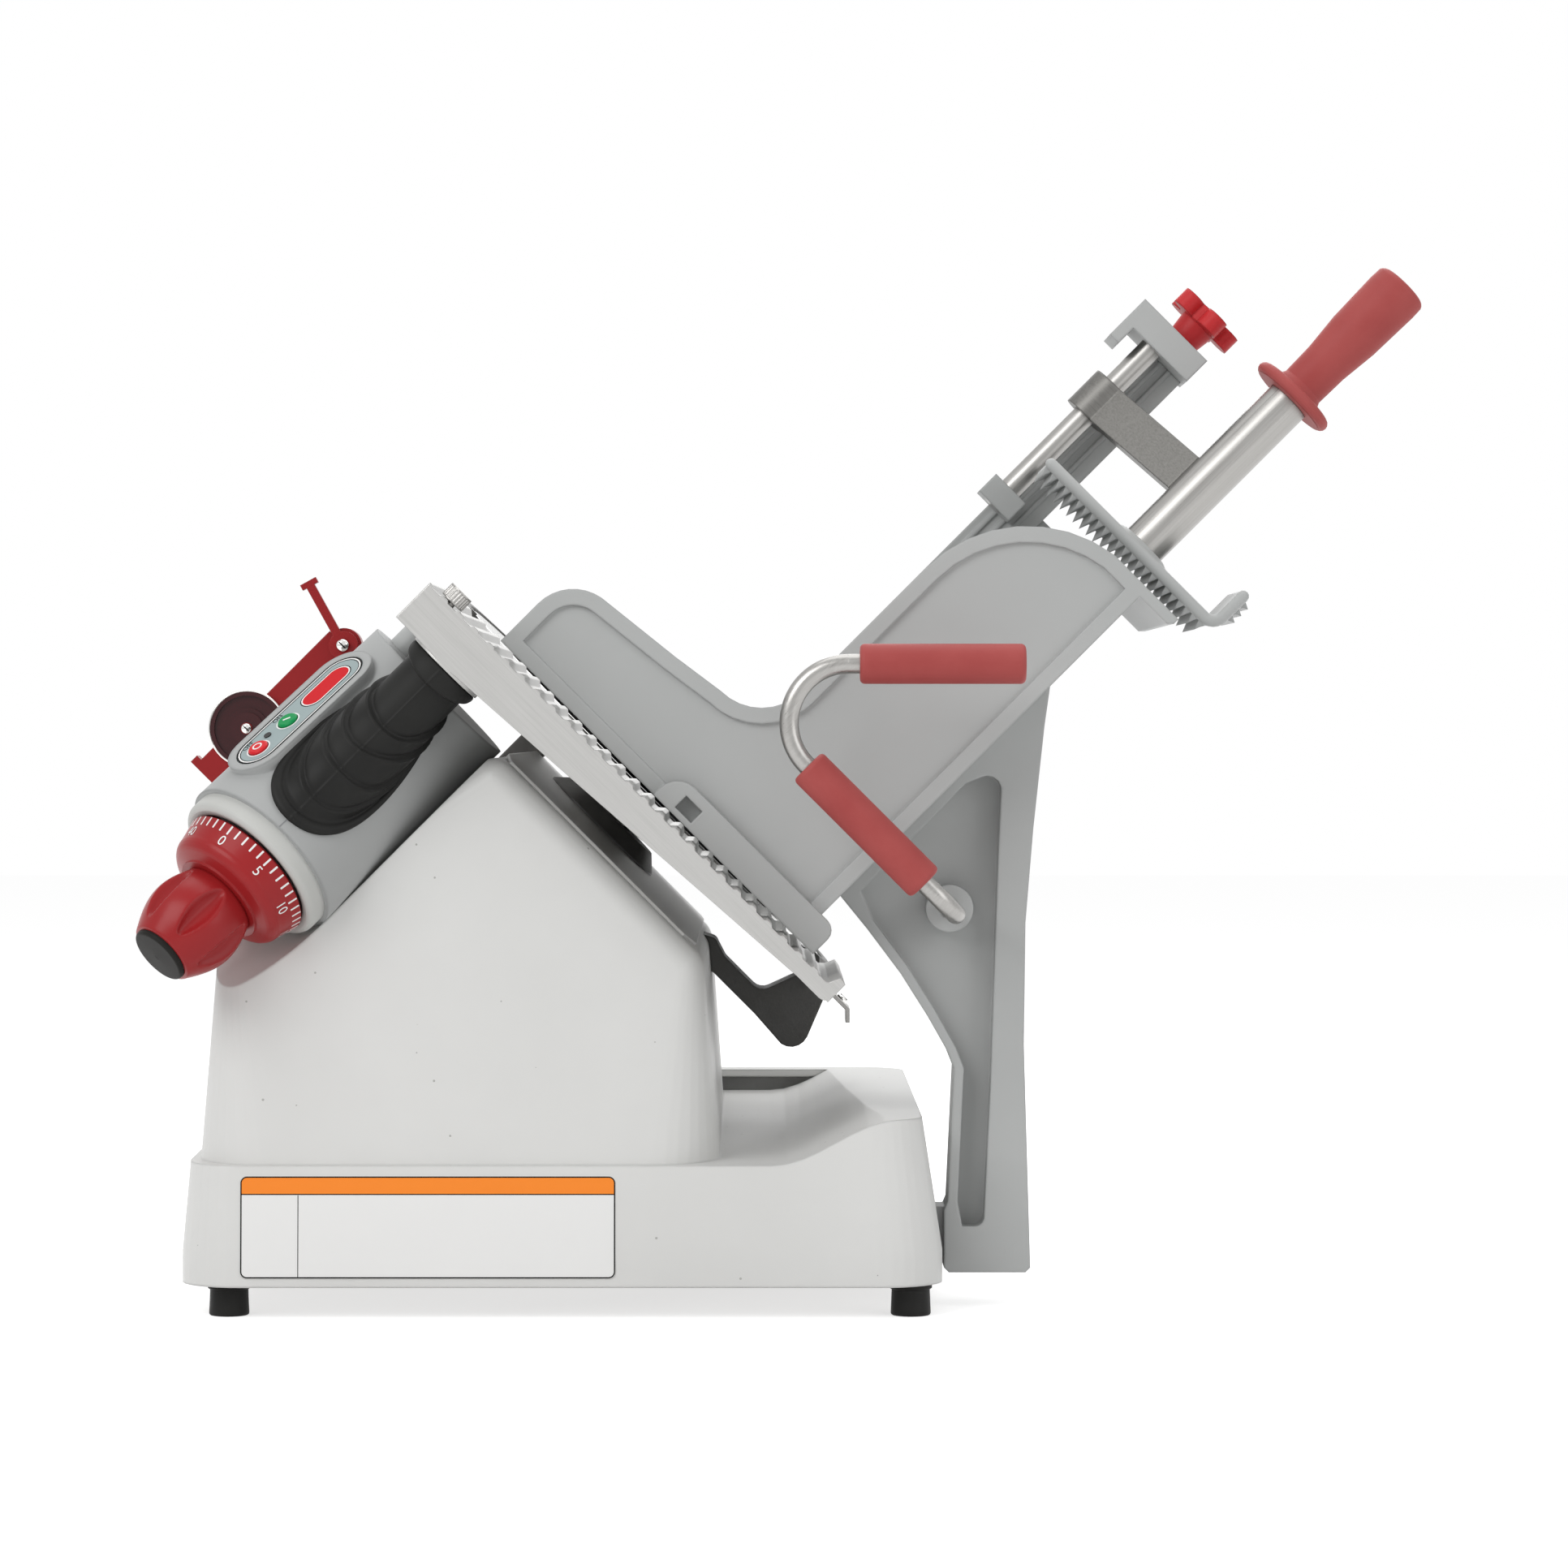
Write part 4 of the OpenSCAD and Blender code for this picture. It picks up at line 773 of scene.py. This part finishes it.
def fluted_knob():
    """Index knob with its flutes, down to the cap that closes its end."""
    steps, segments = 44, 192
    verts = []
    for k in range(segments):
        angle = math.tau * k / segments
        rows = [(12.0, KNOB_FROM)]
        for i in range(steps + 1):
            u = i / steps
            rows.append((knob_radius(u, angle), KNOB_FROM + (KNOB_TO + 0.9 - KNOB_FROM) * u))
        rows += [(21.0, KNOB_TO + 0.2), (20.2, KNOB_TO - 0.1), (18.6, KNOB_TO - 0.1)]
        verts += [(r * math.cos(angle), r * math.sin(angle), z) for r, z in rows]
    rows = steps + 5
    faces = []
    for k in range(segments):
        a, b = k * rows, (k + 1) % segments * rows
        faces += [(a + i, a + i + 1, b + i + 1, b + i) for i in range(rows - 1)]
    piece = add_mesh("fluted_knob", verts, faces, INDEX, FINISHES["red_plastic"], "index_dial")
    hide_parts("index_knob")


# Rim of the toothed plate


def round_bead(line, r, y, sides=16):
    """A round bead along a line of (t, n) points at one depth, with domed ends."""
    first, last = line[0], line[-1]
    count = len(line)
    rings = []
    for i in range(count):
        before, after = line[max(i - 1, 0)], line[min(i + 1, count - 1)]
        run, rise = after[0] - before[0], after[1] - before[1]
        length = math.hypot(run, rise)
        rings.append((line[i], run / length, rise / length, r))
    domes = [(math.sin(math.radians(a)) * r, math.cos(math.radians(a)) * r) for a in (85, 60, 30)]
    run, rise = rings[0][1], rings[0][2]
    head = [((first[0] - run * d, first[1] - rise * d), run, rise, w) for d, w in domes]
    run, rise = rings[-1][1], rings[-1][2]
    tail = [((last[0] + run * d, last[1] + rise * d), run, rise, w) for d, w in reversed(domes)]
    verts = []
    rows = head + rings + tail
    for (t, n), run, rise, w in rows:
        for k in range(sides):
            a = math.tau * k / sides
            verts.append((t - rise * w * math.cos(a), y + w * math.sin(a), n + run * w * math.cos(a)))
    faces = [tuple(range(sides)), tuple(reversed(range((len(rows) - 1) * sides, len(rows) * sides)))]
    for i in range(len(rows) - 1):
        for k in range(sides):
            m = (k + 1) % sides
            faces.append((i * sides + k, (i + 1) * sides + k, (i + 1) * sides + m, i * sides + m))
    return verts, faces


def pusher_rim():
    """Rounded front edge of the toothed plate, its hooked end, and the mound the tube stands on."""
    bend = [(-109 + 8 * math.sin(math.radians(a)), 515.2 - 8 * math.cos(math.radians(a)))
            for a in range(0, 91, 15)]
    line = [(-247, 507.2), (-180, 507.2)] + bend + [(-101, 534)]
    add_mesh("pusher_rim", *round_bead(line, 3.9, -144.8), SLOPE, FINISHES["grey_coat"], "pusher")
    mound = [(15.1, 517.4), (18.0, 517.2), (22.0, 515.4), (26.5, 512.4), (30.0, 510.4), (31.0, 509.6)]
    under_tube = SLOPE @ move(-167, -85, 0)
    add_mesh("pusher_mound", *lathe(mound), under_tube, FINISHES["grey_coat"], "pusher")


boot()
dial_marks()
panel_prints()
skirt_plate()
face_trim()
parting_line()
fasteners()
wheel_rim()
star_stud()
fluted_knob()
pusher_rim()


# Camera, light and floor


def camera():
    """Long lens straight at the front, shifted to the photograph's framing."""
    data = bpy.data.cameras.new("camera")
    data.lens = 111.8
    data.sensor_width = 36.0
    data.shift_x = 0.0135
    data.shift_y = -0.0342
    data.clip_end = 60.0
    eye = bpy.data.objects.new("camera", data)
    eye.location = (-0.01874, -3.21944, 0.3636)
    eye.rotation_euler = (math.pi / 2, 0, 0)
    bpy.context.scene.collection.objects.link(eye)
    bpy.context.scene.camera = eye


def soft_box(name, at, aim, size, power):
    data = bpy.data.lights.new(name, "AREA")
    data.shape = "RECTANGLE"
    data.size, data.size_y = size
    data.energy = power
    lamp = bpy.data.objects.new(name, data)
    lamp.location = at
    lamp.rotation_euler = (Vector(aim) - Vector(at)).to_track_quat("-Z", "Y").to_euler()
    bpy.context.scene.collection.objects.link(lamp)


def seen_ray(tree):
    """1 for rays from the camera, and for those by mirror or through glass."""
    rays = add_node(tree, "ShaderNodeLightPath")
    both = add_node(tree, "ShaderNodeMath", operation="MAXIMUM")
    tree.links.new(rays.outputs["Is Camera Ray"], both.inputs[0])
    tree.links.new(rays.outputs["Is Glossy Ray"], both.inputs[1])
    three = add_node(tree, "ShaderNodeMath", operation="MAXIMUM")
    tree.links.new(both.outputs[0], three.inputs[0])
    tree.links.new(rays.outputs["Is Transmission Ray"], three.inputs[1])
    return three.outputs[0]


def surroundings():
    """White where it is seen, and a plain level of light elsewhere."""
    world = bpy.data.worlds.new("studio")
    world.use_nodes = True
    tree = world.node_tree
    tree.nodes.clear()
    low = add_node(tree, "ShaderNodeBackground")
    low.inputs["Color"].default_value = (1, 1, 1, 1)
    low.inputs["Strength"].default_value = 0.42
    white = add_node(tree, "ShaderNodeBackground")
    white.inputs["Color"].default_value = (1, 1, 1, 1)
    white.inputs["Strength"].default_value = 1.0
    pick = add_node(tree, "ShaderNodeMixShader")
    tree.links.new(seen_ray(tree), pick.inputs[0])
    tree.links.new(low.outputs[0], pick.inputs[1])
    tree.links.new(white.outputs[0], pick.inputs[2])
    out = add_node(tree, "ShaderNodeOutputWorld")
    tree.links.new(pick.outputs[0], out.inputs[0])
    bpy.context.scene.world = world


def floor():
    """Pale floor that reads as white where it is seen and takes a soft shadow."""
    material = bpy.data.materials.new("pale_floor")
    material.use_nodes = True
    tree = material.node_tree
    tree.nodes.clear()
    plain = add_node(tree, "ShaderNodeBsdfDiffuse")
    plain.inputs["Color"].default_value = (0.85, 0.85, 0.85, 1)
    glow = add_node(tree, "ShaderNodeEmission")
    glow.inputs["Strength"].default_value = 0.62
    lit = add_node(tree, "ShaderNodeAddShader")
    tree.links.new(plain.outputs[0], lit.inputs[0])
    tree.links.new(glow.outputs[0], lit.inputs[1])
    pick = add_node(tree, "ShaderNodeMixShader")
    tree.links.new(seen_ray(tree), pick.inputs[0])
    tree.links.new(plain.outputs[0], pick.inputs[1])
    tree.links.new(lit.outputs[0], pick.inputs[2])
    out = add_node(tree, "ShaderNodeOutputMaterial")
    tree.links.new(pick.outputs[0], out.inputs[0])
    reach = 9.0
    mesh = bpy.data.meshes.new("floor")
    corners = [(-reach, -reach, 0), (reach, -reach, 0), (reach, reach, 0), (-reach, reach, 0)]
    mesh.from_pydata(corners, [], [(0, 1, 2, 3)])
    mesh.materials.append(material)
    piece = bpy.data.objects.new("floor", mesh)
    bpy.context.scene.collection.objects.link(piece)


camera()
soft_box("key_left", (-1.9, -2.3, 2.1), (0, 0, 0.3), (2.2, 1.8), 51)
soft_box("fill_right", (2.3, -2.0, 1.2), (0, 0, 0.3), (1.8, 1.8), 17)
soft_box("overhead", (0.2, 0.3, 2.6), (0, 0, 0.3), (2.4, 2.0), 24)
soft_box("back_rim", (0.6, 2.4, 1.8), (0, 0, 0.4), (2.2, 1.4), 17)
surroundings()
floor()
bpy.context.scene.view_settings.view_transform = "Standard"
